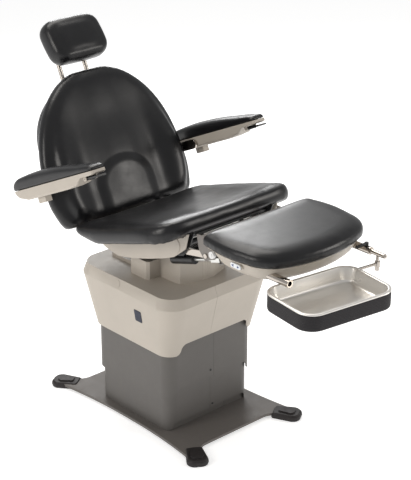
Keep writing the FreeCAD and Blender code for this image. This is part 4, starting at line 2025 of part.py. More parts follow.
def check_and_write():
    doc.recompute()
    for thing in doc.Objects:
        if "Invalid" in thing.State or "Error" in thing.State:
            raise RuntimeError("%s is in state %s" % (thing.Name, thing.State))
    os.makedirs("parts", exist_ok=True)
    for node, thing in kept.items():
        shape = thing.Shape
        if shape.isNull() or not shape.isValid() or not shape.Solids:
            raise RuntimeError("%s has no valid shape" % node)
        shape.exportStep("parts/%s.step" % node)
    print("nodes", len(kept))


build()
check_and_write()
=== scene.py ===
"""Podiatry chair: upholstery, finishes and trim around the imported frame.

Lengths are metres in the frame's axes: +Z up, -Y towards the patient's feet and +X to the
patient's left. The origin is on the floor under the lift column.
"""

import json
import math

import bmesh
import bpy
from mathutils import Matrix, Vector, noise

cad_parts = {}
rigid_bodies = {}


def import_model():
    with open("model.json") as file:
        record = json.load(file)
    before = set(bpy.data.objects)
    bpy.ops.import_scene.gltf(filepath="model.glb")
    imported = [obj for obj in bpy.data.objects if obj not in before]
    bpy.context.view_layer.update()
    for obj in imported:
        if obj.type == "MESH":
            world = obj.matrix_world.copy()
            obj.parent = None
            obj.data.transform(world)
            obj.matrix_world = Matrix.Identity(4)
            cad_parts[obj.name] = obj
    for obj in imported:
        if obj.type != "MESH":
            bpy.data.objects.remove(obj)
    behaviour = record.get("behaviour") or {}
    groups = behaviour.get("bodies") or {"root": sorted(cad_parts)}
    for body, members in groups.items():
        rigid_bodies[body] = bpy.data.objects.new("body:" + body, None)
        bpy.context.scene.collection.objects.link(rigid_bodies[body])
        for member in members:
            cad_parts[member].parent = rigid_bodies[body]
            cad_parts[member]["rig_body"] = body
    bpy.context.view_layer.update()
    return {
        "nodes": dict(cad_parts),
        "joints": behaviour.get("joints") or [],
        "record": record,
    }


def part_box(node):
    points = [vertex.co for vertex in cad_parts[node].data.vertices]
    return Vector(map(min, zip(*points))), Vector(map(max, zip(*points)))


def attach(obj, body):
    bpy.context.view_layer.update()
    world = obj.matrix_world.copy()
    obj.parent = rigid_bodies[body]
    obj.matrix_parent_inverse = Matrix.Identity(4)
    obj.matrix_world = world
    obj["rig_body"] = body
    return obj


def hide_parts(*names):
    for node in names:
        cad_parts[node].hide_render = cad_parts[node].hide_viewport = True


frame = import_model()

bl_info = {
    "name": "Podiatry Chair",
    "version": (1, 0, 0),
    "blender": (4, 5, 0),
    "location": "View3D > Sidebar > Chair",
    "description": "Builds the cushions, covers, tray and finishes of a powered podiatry chair",
    "category": "Object",
}

MM = 0.001
WELD = 0.01 * MM            # points nearer than this become one
SLIVER = 0.02 * MM          # edges shorter than this go
FLAT = 0.4                  # degrees within which faces count as one
EASED_FROM = 32.0           # degrees of turn from which an edge is eased
CREASED_FROM = 35.0         # degrees of turn from which shading is broken
PLAIN = (1.0, 1.0, 1.0)     # a pattern that isn't stretched
ALONG_Z = (1.0, 1.0, 0.08)  # a pattern drawn out along Z
ARROW_DEEP = 0.5 * MM       # the arrows' faces lie within this of the rocker's outer face


# Sizes and colours that a user would change

def length(name, description, default, low=0.0):
    return bpy.props.FloatProperty(name=name, description=description, default=default, min=low,
                                   unit="LENGTH", precision=4)


def colour(name, description, default):
    return bpy.props.FloatVectorProperty(name=name, description=description, default=default, size=3,
                                         min=0.0, max=1.0, subtype="COLOR")


class ChairSizes(bpy.types.PropertyGroup):
    """Sizes of the soft parts, the eased edges and the trim."""
    moulded_edge: length("Moulded edge", "Radius of the edges of the moulded covers", 2.2 * MM)
    metal_edge: length("Metal edge", "Radius of the edges of the metal parts", 0.7 * MM)
    rubber_edge: length("Rubber edge", "Radius of the edges of the foot caps", 3.0 * MM)
    cell: length("Cushion cell", "Side of a mesh cell of a cushion before it swells", 6.5 * MM, 2 * MM)
    small_cell: length("Pad cell", "Side of a mesh cell of a small pad before it swells", 5.0 * MM, 2 * MM)
    slack: length("Cover slack", "How far a cushion starts inside its final form", 3.5 * MM)
    swell: length("Swell", "How far the filling may push a cover outwards", 7.0 * MM)
    pressure: bpy.props.FloatProperty(name="Pressure", description="Pressure of the filling on the cover",
                                      default=4.0, min=0.0)
    settle: bpy.props.IntProperty(name="Settle frames", description="Steps for a cover to come to rest",
                                  default=20, min=1)
    sheet: length("Tray sheet", "Thickness of the tray's steel sheet", 1.5 * MM)
    tray_depth: length("Tray depth", "Depth of the tray inside", 42 * MM)
    tray_slope: length("Tray slope", "How far the tray's walls draw in towards its floor", 13 * MM)
    rib_radius: length("Rib radius", "Radius of a rib on the tray's band", 1.0 * MM)
    rib_count: bpy.props.IntProperty(name="Rib count", description="Ribs round the tray's band",
                                     default=9, min=1)
    grain: length("Grain", "Size of a cell of the vinyl's grain", 1.5 * MM, 0.1 * MM)


class ChairColours(bpy.types.PropertyGroup):
    """Colours of the finishes."""
    vinyl: colour("Vinyl", "Upholstery", (0.0065, 0.0065, 0.0075))
    beige: colour("Beige covers", "Shroud, shells and foot housing", (0.445, 0.402, 0.348))
    grey: colour("Grey covers", "Column covers", (0.102, 0.095, 0.088))
    plate: colour("Base plate", "Powder coat of the base plate and channel", (0.118, 0.107, 0.098))
    rubber: colour("Rubber", "Foot caps", (0.014, 0.011, 0.011))
    black: colour("Black parts", "Levers, brackets and back shell", (0.008, 0.008, 0.009))
    band: colour("Tray band", "Band round the tray", (0.016, 0.014, 0.016))
    steel: colour("Stainless steel", "Tray pan", (0.80, 0.775, 0.735))
    chrome: colour("Chrome", "Tubes, sockets and hinge brackets", (0.47, 0.43, 0.39))
    badge: colour("Side plate", "Plate on the shroud's side", (0.004, 0.008, 0.028))
    switch: colour("Switch", "Rocker of the foot switch", (0.72, 0.75, 0.78))
    arrow: colour("Arrows", "Arrows on the rocker", (0.01, 0.035, 0.16))


def sizes():
    return bpy.context.scene.chair_sizes


def colours():
    return bpy.context.scene.chair_colours


# Places that come from the frame

def hinge(joint):
    return Vector(next(j["pos_m"] for j in frame["joints"] if j["name"] == joint))


def tilted(joint, degrees):
    """Axes of a body that leans back about its hinge by an angle."""
    return Matrix.Translation(hinge(joint)) @ Matrix.Rotation(math.radians(-degrees), 4, "X")


# How far each section leans back at rest, in degrees
SEAT = tilted("seat_tilt", 17.5)
BACK = tilted("back_recline", 25.0)
HEAD = tilted("headrest_tilt", 40.0)
FOOT = tilted("foot_tilt", 0.0)


def ease(value, low, high):
    """0 below low, 1 above high and smooth between them."""
    share = min(max((value - low) / (high - low), 0.0), 1.0)
    return share * share * (3 - 2 * share)


def hump(value, middle, reach):
    """1 at the middle, falling smoothly to 0 at a distance of reach."""
    share = min(abs(value - middle) / reach, 1.0)
    return (1 - share * share) ** 2


# Meshes

def piece(name, mesh):
    """A new object at the origin that shows a mesh."""
    obj = bpy.data.objects.new(name, mesh)
    bpy.context.scene.collection.objects.link(obj)
    return obj


def baked(obj):
    """Replaces an object's modifiers by the mesh that they give."""
    bpy.context.view_layer.update()
    mesh = bpy.data.meshes.new_from_object(obj.evaluated_get(bpy.context.evaluated_depsgraph_get()))
    obj.modifiers.clear()
    obj.data = mesh
    return obj


def modifier(obj, kind, **values):
    new = obj.modifiers.new(kind.title(), kind)
    for name, value in values.items():
        setattr(new, name, value)
    return new


def smooth(obj, degrees=CREASED_FROM):
    """Smooth faces, with creases where the surface turns by more than an angle."""
    obj.data.shade_smooth()
    obj.data.set_sharp_from_angle(angle=math.radians(degrees))
    return obj


def plain_mesh(name, bm):
    """A fresh mesh that keeps only a bmesh's points and faces."""
    bm.verts.ensure_lookup_table()
    mesh = bpy.data.meshes.new(name)
    mesh.from_pydata([v.co[:] for v in bm.verts], [], [[v.index for v in f.verts] for f in bm.faces])
    bm.free()
    return mesh


def node_mesh(node, name, flat=FLAT):
    """A node's mesh with its loose triangles joined up and its flat faces merged."""
    bm = bmesh.new()
    bm.from_mesh(frame["nodes"][node].data)
    bmesh.ops.remove_doubles(bm, verts=bm.verts[:], dist=WELD)
    bmesh.ops.dissolve_degenerate(bm, dist=SLIVER, edges=bm.edges[:])
    if flat:
        bmesh.ops.dissolve_limit(bm, angle_limit=math.radians(flat), verts=bm.verts[:], edges=bm.edges[:])
    bm.verts.index_update()
    return plain_mesh(name, bm)


def settle(obj, node, slot):
    """Puts a finished piece in a node's place: its body, its slot and its finish."""
    obj.data.materials.append(finishes[slot])
    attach(obj, frame["nodes"][node]["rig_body"])
    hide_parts(node)
    return obj


def eased(node, slot, radius):
    """A node's copy with eased edges, which stands for the node."""
    obj = piece(node + "_finished", node_mesh(node, node + "_finished"))
    modifier(obj, "BEVEL", width=radius, segments=2, limit_method="ANGLE", angle_limit=math.radians(EASED_FROM),
             use_clamp_overlap=True, loop_slide=True)
    baked(obj)
    smooth(obj)
    modifier(obj, "WEIGHTED_NORMAL", keep_sharp=True)
    baked(obj)
    return settle(obj, node, slot)


# Materials

def finish(name, tint, rough, **values):
    """A principled material; each extra value is set on the shader's own socket."""
    material = bpy.data.materials.new(name)
    material.use_nodes = True
    shader = material.node_tree.nodes["Principled BSDF"]
    shader.inputs["Base Color"].default_value = (*tint, 1.0)
    shader.inputs["Roughness"].default_value = rough
    for socket, value in values.items():
        shader.inputs[socket.replace("_", " ")].default_value = value
    return material


def coordinates(material, stretch=PLAIN):
    """Object coordinates, stretched for a pattern with a direction."""
    nodes, links = material.node_tree.nodes, material.node_tree.links
    place = nodes.new("ShaderNodeTexCoord")
    mapping = nodes.new("ShaderNodeMapping")
    mapping.inputs["Scale"].default_value = stretch
    links.new(place.outputs["Object"], mapping.inputs["Vector"])
    return mapping.outputs["Vector"]


def clouds(material, size, detail=3.0, stretch=PLAIN):
    """Noise whose patches are about size across."""
    node = material.node_tree.nodes.new("ShaderNodeTexNoise")
    node.inputs["Scale"].default_value = 1.0 / size
    node.inputs["Detail"].default_value = detail
    node.inputs["Roughness"].default_value = 0.55
    material.node_tree.links.new(coordinates(material, stretch), node.inputs["Vector"])
    return node.outputs["Fac"]


def cell_edges(material, size):
    """Distance from the edges of cells that are about size wide."""
    node = material.node_tree.nodes.new("ShaderNodeTexVoronoi")
    node.feature = "DISTANCE_TO_EDGE"
    node.inputs["Scale"].default_value = 1.0 / size
    material.node_tree.links.new(coordinates(material), node.inputs["Vector"])
    return node.outputs["Distance"]


def relief(material, height, distance, strength=1.0):
    """Adds a height pattern to a material's bumps."""
    nodes, links = material.node_tree.nodes, material.node_tree.links
    shader = nodes["Principled BSDF"]
    node = nodes.new("ShaderNodeBump")
    node.inputs["Strength"].default_value = strength
    node.inputs["Distance"].default_value = distance
    links.new(height, node.inputs["Height"])
    if shader.inputs["Normal"].is_linked:
        links.new(shader.inputs["Normal"].links[0].from_socket, node.inputs["Normal"])
    links.new(node.outputs["Normal"], shader.inputs["Normal"])


def spread(material, source, low, high, socket="Roughness"):
    """Lets a pattern vary a socket between two values."""
    nodes, links = material.node_tree.nodes, material.node_tree.links
    node = nodes.new("ShaderNodeMapRange")
    node.inputs["From Min"].default_value = 0.25
    node.inputs["From Max"].default_value = 0.75
    node.inputs["To Min"].default_value = low
    node.inputs["To Max"].default_value = high
    links.new(source, node.inputs["Value"])
    links.new(node.outputs["Result"], nodes["Principled BSDF"].inputs[socket])


def mottle(material, source, tint, dark=0.88, light=1.1):
    """Lets a pattern shade the base colour between a darker and a lighter tint."""
    nodes, links = material.node_tree.nodes, material.node_tree.links
    ramp = nodes.new("ShaderNodeValToRGB")
    ramp.color_ramp.elements[0].position = 0.3
    ramp.color_ramp.elements[1].position = 0.7
    ramp.color_ramp.elements[0].color = (*(c * dark for c in tint), 1.0)
    ramp.color_ramp.elements[1].color = (*(min(c * light, 1.0) for c in tint), 1.0)
    links.new(source, ramp.inputs["Fac"])
    links.new(ramp.outputs["Color"], nodes["Principled BSDF"].inputs["Base Color"])


def vinyl():
    tint = colours().vinyl
    material = finish("black_vinyl", tint, 0.34, Specular_IOR_Level=0.36, Coat_Weight=0.05, Coat_Roughness=0.22)
    mottle(material, clouds(material, 0.05), tint, 0.85, 1.2)
    spread(material, clouds(material, 0.03, 4.0), 0.29, 0.37)
    relief(material, clouds(material, 0.07, 1.0), 1.2 * MM, 0.3)
    relief(material, cell_edges(material, sizes().grain), 0.04 * MM, 0.45)
    relief(material, clouds(material, sizes().grain * 0.4), 0.02 * MM, 0.35)
    return material


def moulded(name, tint, rough, grain=0.9 * MM):
    """Moulded plastic with a fine even texture."""
    material = finish(name, tint, rough, Specular_IOR_Level=0.45)
    mottle(material, clouds(material, 0.12), tint, 0.97, 1.03)
    spread(material, clouds(material, 0.02, 3.0), rough - 0.04, rough + 0.05)
    relief(material, clouds(material, grain, 2.0), 0.05 * MM, 0.35)
    return material


def powder(name, tint, rough=0.46):
    """Powder coat with a slight orange peel and small flecks."""
    material = finish(name, tint, rough, Specular_IOR_Level=0.5)
    mottle(material, clouds(material, 1.2 * MM, 2.0), tint, 0.9, 1.12)
    spread(material, clouds(material, 0.04), rough - 0.05, rough + 0.06)
    relief(material, clouds(material, 2.2 * MM, 2.0), 0.08 * MM, 0.35)
    return material


def brushed(name, tint, rough, stretch):
    """Metal brushed along the axis where the pattern is stretched least."""
    material = finish(name, tint, rough, Metallic=1.0, Anisotropic=0.45)
    lines = clouds(material, 0.9 * MM, 4.0, stretch)
    spread(material, lines, rough - 0.03, rough + 0.03)
    mottle(material, clouds(material, 3 * MM, 3.0, stretch), tint, 0.985, 1.015)
    relief(material, lines, 0.002 * MM, 0.2)
    return material


def satin(name, tint, rough):
    """Polished sheet steel with a faint even cloudiness."""
    material = finish(name, tint, rough, Metallic=0.85)
    spread(material, clouds(material, 0.05, 2.0), rough - 0.03, rough + 0.04)
    mottle(material, clouds(material, 0.08, 1.0), tint, 0.98, 1.02)
    return material


def bright(name, tint, rough=0.17):
    """Plated metal with faint wipe marks."""
    material = finish(name, tint, rough, Metallic=1.0)
    spread(material, clouds(material, 0.02, 4.0), rough * 0.7, rough * 1.5)
    relief(material, clouds(material, 0.01, 1.0), 0.02 * MM, 0.2)
    return material


def glossy(name, tint, rough=0.25):
    material = finish(name, tint, rough, Coat_Weight=0.3, Coat_Roughness=0.1)
    spread(material, clouds(material, 0.01, 3.0), rough - 0.05, rough + 0.06)
    mottle(material, clouds(material, 0.03), tint, 0.96, 1.04)
    return material


def make_finishes():
    """Every finish by the name of its slot."""
    c = colours()
    rubber = finish("foot_rubber", c.rubber, 0.55, Specular_IOR_Level=0.4)
    mottle(rubber, clouds(rubber, 3 * MM), c.rubber, 0.8, 1.25)
    relief(rubber, clouds(rubber, 1.1 * MM, 3.0), 0.1 * MM, 0.5)
    spread(rubber, clouds(rubber, 0.02), 0.5, 0.64)
    band = finish("tray_band", c.band, 0.6, Specular_IOR_Level=0.35)
    mottle(band, clouds(band, 0.8 * MM, 2.0), c.band, 0.8, 1.2)
    relief(band, clouds(band, 0.7 * MM, 2.0), 0.08 * MM, 0.5)
    return {
        "vinyl_black": vinyl(),
        "shroud_beige": moulded("beige_plastic", c.beige, 0.48),
        "button_beige": moulded("beige_plug", c.beige, 0.34),
        "cover_grey": moulded("grey_plastic", c.grey, 0.5, 1.1 * MM),
        "plate_paint": powder("plate_powder_coat", c.plate, 0.58),
        "channel_grey": powder("channel_powder_coat", [v * 1.4 for v in c.plate], 0.4),
        "case_grey": powder("case_powder_coat", (0.3, 0.31, 0.32)),
        "foot_rubber": rubber,
        "steel_black": powder("black_powder_coat", c.black, 0.38),
        "shell_black": moulded("black_plastic", c.black, 0.42),
        "band_black": band,
        "pan_steel": satin("tray_steel", c.steel, 0.3),
        "steel_bright": brushed("bright_steel", (0.62, 0.62, 0.60), 0.3, ALONG_Z),
        "tube_alloy": brushed("anodised_alloy", (0.62, 0.62, 0.62), 0.36, ALONG_Z),
        "chrome": bright("warm_chrome", c.chrome),
        "glide_white": moulded("glide_plastic", (0.78, 0.78, 0.75), 0.5),
        "badge_blue": moulded("plate_enamel", c.badge, 0.5),
        "disc_white": glossy("disc_plastic", (0.70, 0.70, 0.70)),
        "switch_white": glossy("switch_plastic", c.switch, 0.3),
        "arrow_blue": glossy("arrow_print", c.arrow, 0.35),
    }


finishes = {}


def node_slots():
    """Each node's material slot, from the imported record."""
    return {part["node"]: part["material_slot"] for part in frame["record"]["subparts"]}


# Cushions

def evened(mesh, values, rounds):
    """Averages each point's value with those of its neighbours."""
    ends = [edge.vertices[:] for edge in mesh.edges]
    for _ in range(rounds):
        total, count = values[:], [1] * len(values)
        for one, other in ends:
            total[one] += values[other]
            total[other] += values[one]
            count[one] += 1
            count[other] += 1
        values = [whole / parts for whole, parts in zip(total, count)]
    return values


def cloth_pass(obj, hold, cap):
    """Lets a cover swell over its filling; each point moves outwards only, and no further than a cap."""
    start = [(v.co.copy(), v.normal.copy()) for v in obj.data.vertices]
    cloth = modifier(obj, "CLOTH")
    cloth.settings.use_pressure = True
    cloth.settings.uniform_pressure_force = sizes().pressure
    cloth.settings.effector_weights.gravity = 0.0
    cloth.settings.tension_stiffness = 12.0
    cloth.settings.compression_stiffness = 12.0
    cloth.settings.bending_stiffness = 1.0
    cloth.point_cache.frame_start = 1
    cloth.point_cache.frame_end = sizes().settle
    scene = bpy.context.scene
    for step in range(1, sizes().settle + 1):
        scene.frame_set(step)
    baked(obj)
    scene.frame_set(1)
    least = sizes().slack * 0.75
    swollen = [min(max((vertex.co - rest).dot(outward), least), cap) * hold(rest)
               for vertex, (rest, outward) in zip(obj.data.vertices, start)]
    for vertex, (rest, outward), reach in zip(obj.data.vertices, start, evened(obj.data, swollen, 8)):
        vertex.co = rest + outward * reach


def sculpt(obj, axes, shape):
    """Moves each point along its normal by what shape says of its place in the given axes."""
    back = axes.inverted()
    turn = back.to_3x3()
    normals = [v.normal.copy() for v in obj.data.vertices]
    for vertex, normal in zip(obj.data.vertices, normals):
        vertex.co += normal * shape(back @ vertex.co, turn @ normal)
    obj.data.update()


def cushion(node, name, axes, cell, hold, shape, rounds):
    """Upholstered pad over a node's form: remeshed, swollen, shaped and refined."""
    obj = piece(name, node_mesh(node, name, 0))
    modifier(obj, "REMESH", mode="VOXEL", voxel_size=cell, use_smooth_shade=True)
    modifier(obj, "SMOOTH", factor=0.5, iterations=rounds)
    baked(obj)
    local = axes.inverted()
    sculpt(obj, axes, lambda place, normal: -sizes().slack * hold(place))
    cloth_pass(obj, lambda place: hold(local @ place), sizes().swell)
    modifier(obj, "SMOOTH", factor=0.5, iterations=3)
    baked(obj)
    modifier(obj, "SUBSURF", levels=1, render_levels=1)
    baked(obj)
    sculpt(obj, axes, shape)
    obj.data.shade_smooth()
    settle(obj, node, "vinyl_black")
    return obj


def wrinkles(place, size, height):
    """Soft creases that run across the local X axis."""
    point = Vector((place.x / size, place.y / (size * 3.2), place.z / (size * 3.2)))
    return noise.noise(point) * height


def seat_hold(place):
    """The cover is fixed along the underside of the seat."""
    return ease(place.z, 24 * MM, 46 * MM)


def seat_shape(place, normal):
    """Front roll, a shallow hollow behind it and creases at the lower front corners."""
    roll_high, roll_y, roll_reach = 2.6 * MM, -52 * MM, 70 * MM
    hollow_deep, hollow_y, hollow_reach = 2.2 * MM, 60 * MM, 90 * MM
    crease_deep, crease_wide, crease_y, crease_reach = 2.2 * MM, 9 * MM, -30 * MM, 120 * MM
    wave_high, wave_long = 0.8 * MM, 42 * MM
    side = ease(abs(place.x), 200 * MM, 285 * MM)
    low = 1 - ease(place.z, 30 * MM, 62 * MM)
    roll = hump(place.y, roll_y, roll_reach) * ease(normal.z, 0.2, 0.9) * roll_high
    hollow = hump(place.y, hollow_y, hollow_reach) * ease(normal.z, 0.6, 1.0) * (1 - side) * hollow_deep
    creases = low * side * hump(place.y, crease_y, crease_reach) * wrinkles(place, crease_wide, crease_deep)
    waves = wrinkles(place, wave_long, wave_high) * ease(normal.z, -0.2, 0.4)
    return roll - hollow + creases + waves


def back_hold(place):
    """The cover is fixed along the rear of the back cushion."""
    return ease(-place.y, -88 * MM, -66 * MM)


def back_shape(place, normal):
    """Lumbar arch low in the middle and shallow channels beside it."""
    arch_high, arch_x, arch_z, arch_half, arch_tall = 6.5 * MM, -6 * MM, 150 * MM, 112 * MM, 85 * MM
    channel_deep, channel_x, channel_half = 1.6 * MM, 165 * MM, 55 * MM
    wave_high, wave_long = 0.7 * MM, 60 * MM
    front = ease(-normal.y, 0.3, 0.9)
    above = max(place.z - arch_z, 0.0) / arch_tall
    across = (place.x - arch_x) / arch_half
    arch = ease(1.3 - across * across - above * above, 0.0, 0.8)
    low = 1 - ease(place.z, 200 * MM, 330 * MM)
    channel = hump(abs(place.x), channel_x, channel_half) * low
    return front * (arch * arch_high - channel * channel_deep + wrinkles(place, wave_long, wave_high))


def head_hold(place):
    """The cover is fixed along the rear of the headrest."""
    return ease(-place.y, 10 * MM, 26 * MM)


def head_shape(place, normal):
    """Crowned face."""
    crown_high, crown_half, crown_half_tall = 5 * MM, 112 * MM, 76 * MM
    across, above = place.x / crown_half, place.z / crown_half_tall
    crown = max(1 - across * across, 0.0) * max(1 - above * above, 0.0)
    return crown * ease(-normal.y, 0.2, 0.9) * crown_high + wrinkles(place, 40 * MM, 0.4 * MM)


def foot_hold(place):
    """The cover is fixed along the underside of the foot cushion."""
    return ease(place.z, 67 * MM, 82 * MM)


def foot_shape(place, normal):
    """Domed top, with small creases low on the sides where the cover is drawn in."""
    dome_high, crease_deep, crease_wide = 1.2 * MM, 1.6 * MM, 10 * MM
    dome = ease(normal.z, 0.5, 1.0) * dome_high
    low = 1 - ease(place.z, 70 * MM, 92 * MM)
    side = ease(abs(place.x), 120 * MM, 220 * MM)
    turned = Vector((place.y, place.x, place.z))
    return dome + low * side * wrinkles(turned, crease_wide, crease_deep)


def arm_hold(place):
    """The arm's cover is free all round."""
    return 1.0


def arm_shape(place, normal):
    """Faint waves."""
    return wrinkles(place, 40 * MM, 0.3 * MM)


# Paths and repeats made with geometry nodes

def node_tree(name, inputs):
    """A geometry tree with a Geometry output and the given inputs; returns its sockets by name."""
    tree = bpy.data.node_groups.new(name, "GeometryNodeTree")
    tree.interface.new_socket("Geometry", in_out="INPUT", socket_type="NodeSocketGeometry")
    sockets = {}
    for label, kind, default in inputs:
        socket = tree.interface.new_socket(label, in_out="INPUT", socket_type=kind)
        if default is not None:
            socket.default_value = default
        sockets[label] = socket.identifier
    tree.interface.new_socket("Geometry", in_out="OUTPUT", socket_type="NodeSocketGeometry")
    return tree, sockets


def wire(tree, *pairs):
    for source, target in pairs:
        tree.links.new(source, target)


def finished_tree(tree, geometry, material_output):
    """Ends a tree in Realize Instances and Set Material."""
    real = tree.nodes.new("GeometryNodeRealizeInstances")
    paint = tree.nodes.new("GeometryNodeSetMaterial")
    end = tree.nodes.new("NodeGroupOutput")
    wire(tree, (geometry, real.inputs[0]), (real.outputs[0], paint.inputs["Geometry"]),
         (material_output, paint.inputs["Material"]), (paint.outputs[0], end.inputs[0]))


def rib_tree():
    """A stack of round ribs that follow the input curve."""
    tree, sockets = node_tree("ribs", [("Radius", "NodeSocketFloat", 1 * MM),
                                       ("Count", "NodeSocketInt", 9),
                                       ("Pitch", "NodeSocketFloat", 5 * MM),
                                       ("Material", "NodeSocketMaterial", None)])
    start = tree.nodes.new("NodeGroupInput")
    ring = tree.nodes.new("GeometryNodeCurvePrimitiveCircle")
    ring.inputs["Resolution"].default_value = 8
    sweep = tree.nodes.new("GeometryNodeCurveToMesh")
    shade = tree.nodes.new("GeometryNodeSetShadeSmooth")
    step = tree.nodes.new("ShaderNodeCombineXYZ")
    line = tree.nodes.new("GeometryNodeMeshLine")
    copies = tree.nodes.new("GeometryNodeInstanceOnPoints")
    wire(tree, (start.outputs["Radius"], ring.inputs["Radius"]),
         (start.outputs["Geometry"], sweep.inputs["Curve"]), (ring.outputs["Curve"], sweep.inputs["Profile Curve"]),
         (sweep.outputs["Mesh"], shade.inputs[0]), (start.outputs["Pitch"], step.inputs["Z"]),
         (start.outputs["Count"], line.inputs["Count"]), (step.outputs["Vector"], line.inputs["Offset"]),
         (line.outputs["Mesh"], copies.inputs["Points"]), (shade.outputs[0], copies.inputs["Instance"]))
    finished_tree(tree, copies.outputs[0], start.outputs["Material"])
    return tree, sockets


def grown(obj, tree_and_sockets, name, **values):
    """Runs a tree on an object and returns the result as a plain mesh piece."""
    tree, sockets = tree_and_sockets
    nodes = obj.modifiers.new(tree.name, "NODES")
    nodes.node_group = tree
    for label, value in values.items():
        nodes[sockets[label]] = value
    bpy.context.view_layer.update()
    mesh = bpy.data.meshes.new_from_object(obj.evaluated_get(bpy.context.evaluated_depsgraph_get()))
    obj.modifiers.clear()
    bpy.data.objects.remove(obj)
    return piece(name, mesh)


def path_curve(name, points):
    """A closed run of points as a curve object."""
    curve = bpy.data.curves.new(name, "CURVE")
    curve.dimensions = "3D"
    spline = curve.splines.new("POLY")
    spline.points.add(len(points) - 1)
    for target, place in zip(spline.points, points):
        target.co = (*place, 1.0)
    spline.use_cyclic_u = True
    return piece(name, curve)


def rounded_outline(long, wide, corner, steps=10):
    """Points round a rectangle with rounded corners, about the origin."""
    points = []
    for quarter in range(4):
        across = 1 if quarter in (0, 3) else -1
        up = 1 if quarter in (0, 1) else -1
        middle = Vector((across * (long / 2 - corner), up * (wide / 2 - corner)))
        for step in range(steps + 1):
            angle = math.pi / 2 * (quarter + step / steps)
            points.append(middle + Vector((math.cos(angle), math.sin(angle))) * corner)
    return points


# Tray, in the foot section's axes; its sizes are the frame's

TRAY_TURN = math.radians(-8.0)
TRAY_LONG = 340 * MM
TRAY_WIDE = 232 * MM
TRAY_CORNER = 54 * MM
TRAY_MIDDLE = Vector((-89 * MM, -449 * MM, 8 * MM))
BAND_TALL = 52 * MM
BAND_THICK = 9 * MM
BAND_OUT = 2 * MM
BAND_EDGE = 1.6 * MM
BAND_PLAIN = 4 * MM         # left without ribs at the top and at the bottom
RIM_ROLL = 3 * MM
RIM_OVER = 1 * MM           # how far the rim stands out over the band
RIM_INSIDE = 1.5 * MM       # how far the pan's wall keeps from the band
FLOOR_BEND = 11 * MM
ROD_PIVOT = Vector((180 * MM, -400 * MM, 0))
SLEEVE_LOW = -12.9 * MM
SLEEVE_HIGH = 7.4 * MM
SLEEVE_RADIUS = 9 * MM
STRUT_LEVEL = -2 * MM
STRUT_RADIUS = 5 * MM
STRUT_IN = 3 * MM           # how far the strut enters the band
PAD_RADIUS = 8 * MM
PAD_THICK = 5 * MM
ROD_SIDES = 20
ROD_EASE = 1 * MM


def tray_axes():
    return FOOT @ Matrix.Translation(TRAY_MIDDLE) @ Matrix.Rotation(TRAY_TURN, 4, "Z")


def ring_loft(name, rows, axes, closed=False):
    """Skin over rounded outlines; each row gives how far it is drawn in and its height."""
    bm = bmesh.new()
    loops = []
    for inset, height in rows:
        outline = rounded_outline(TRAY_LONG - inset * 2, TRAY_WIDE - inset * 2, TRAY_CORNER - inset)
        loops.append([bm.verts.new(axes @ Vector((p.x, p.y, height))) for p in outline])
    pairs = list(zip(loops, loops[1:]))
    if closed:
        pairs.append((loops[-1], loops[0]))
    for one, other in pairs:
        for index in range(len(one)):
            after = (index + 1) % len(one)
            bm.faces.new((one[index], one[after], other[after], other[index]))
    if not closed:
        bm.faces.new(loops[-1])
    bmesh.ops.recalc_face_normals(bm, faces=bm.faces[:])
    bm.verts.index_update()
    return plain_mesh(name, bm)


def arc_rows(middle, radius, start, end, steps):
    """Rows along an arc in the plane of inset and height; angles in degrees."""
    rows = []
    for step in range(steps + 1):
        angle = math.radians(start + (end - start) * step / steps)
        rows.append((middle[0] + math.cos(angle) * radius, middle[1] + math.sin(angle) * radius))
    return rows


def pan_piece():
    """Stainless pan: rolled rim over the band, sloped walls and a floor with a soft edge."""
    s = sizes()
    outer, wall = -BAND_OUT - RIM_OVER, BAND_THICK - BAND_OUT + RIM_INSIDE
    crest = RIM_ROLL * 0.4
    floor = -s.tray_depth
    rows = arc_rows((outer + RIM_ROLL, crest), RIM_ROLL, 250, 90, 7)
    rows += arc_rows((wall - RIM_ROLL, crest), RIM_ROLL, 90, 15, 5)
    rows.append((wall + s.tray_slope * 0.75, floor + FLOOR_BEND))
    rows += arc_rows((wall + s.tray_slope * 0.75 + FLOOR_BEND, floor + FLOOR_BEND), FLOOR_BEND, 190, 270, 6)
    edge = wall + s.tray_slope + FLOOR_BEND
    rows += [(edge + 6 * MM, floor), (edge + 12 * MM, floor)]
    obj = piece("tray_pan_sheet", ring_loft("tray_pan_sheet", rows, tray_axes()))
    modifier(obj, "SOLIDIFY", thickness=s.sheet, offset=-1.0)
    baked(obj)
    smooth(obj, 50)
    return settle(obj, "tray_pan", "pan_steel")


def band_piece():
    """Black band under the rim: a closed wall with soft edges."""
    soft = BAND_EDGE
    outer, inner = -BAND_OUT, BAND_THICK - BAND_OUT
    top, low = 0.0, -BAND_TALL
    rows = []
    for middle, start in (((outer + soft, top - soft), 180), ((inner - soft, top - soft), 90),
                          ((inner - soft, low + soft), 0), ((outer + soft, low + soft), -90)):
        rows += arc_rows(middle, soft, start, start - 90, 3)
    obj = piece("tray_band_wall", ring_loft("tray_band_wall", rows, tray_axes(), closed=True))
    smooth(obj, 50)
    return settle(obj, "tray_band", "band_black")


def band_ribs():
    """Fine ribs round the band."""
    s = sizes()
    pitch = (BAND_TALL - BAND_PLAIN * 2) / s.rib_count
    lowest = -BAND_TALL + BAND_PLAIN + pitch / 2
    inset = s.rib_radius * 0.35 - BAND_OUT
    outline = rounded_outline(TRAY_LONG - inset * 2, TRAY_WIDE - inset * 2, TRAY_CORNER - inset)
    points = [tray_axes() @ Vector((p.x, p.y, lowest)) for p in outline]
    obj = grown(path_curve("band_path", points), rib_tree(), "tray_band_ribs", Radius=s.rib_radius,
                Count=s.rib_count, Pitch=pitch, Material=finishes["band_black"])
    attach(obj, "tray")


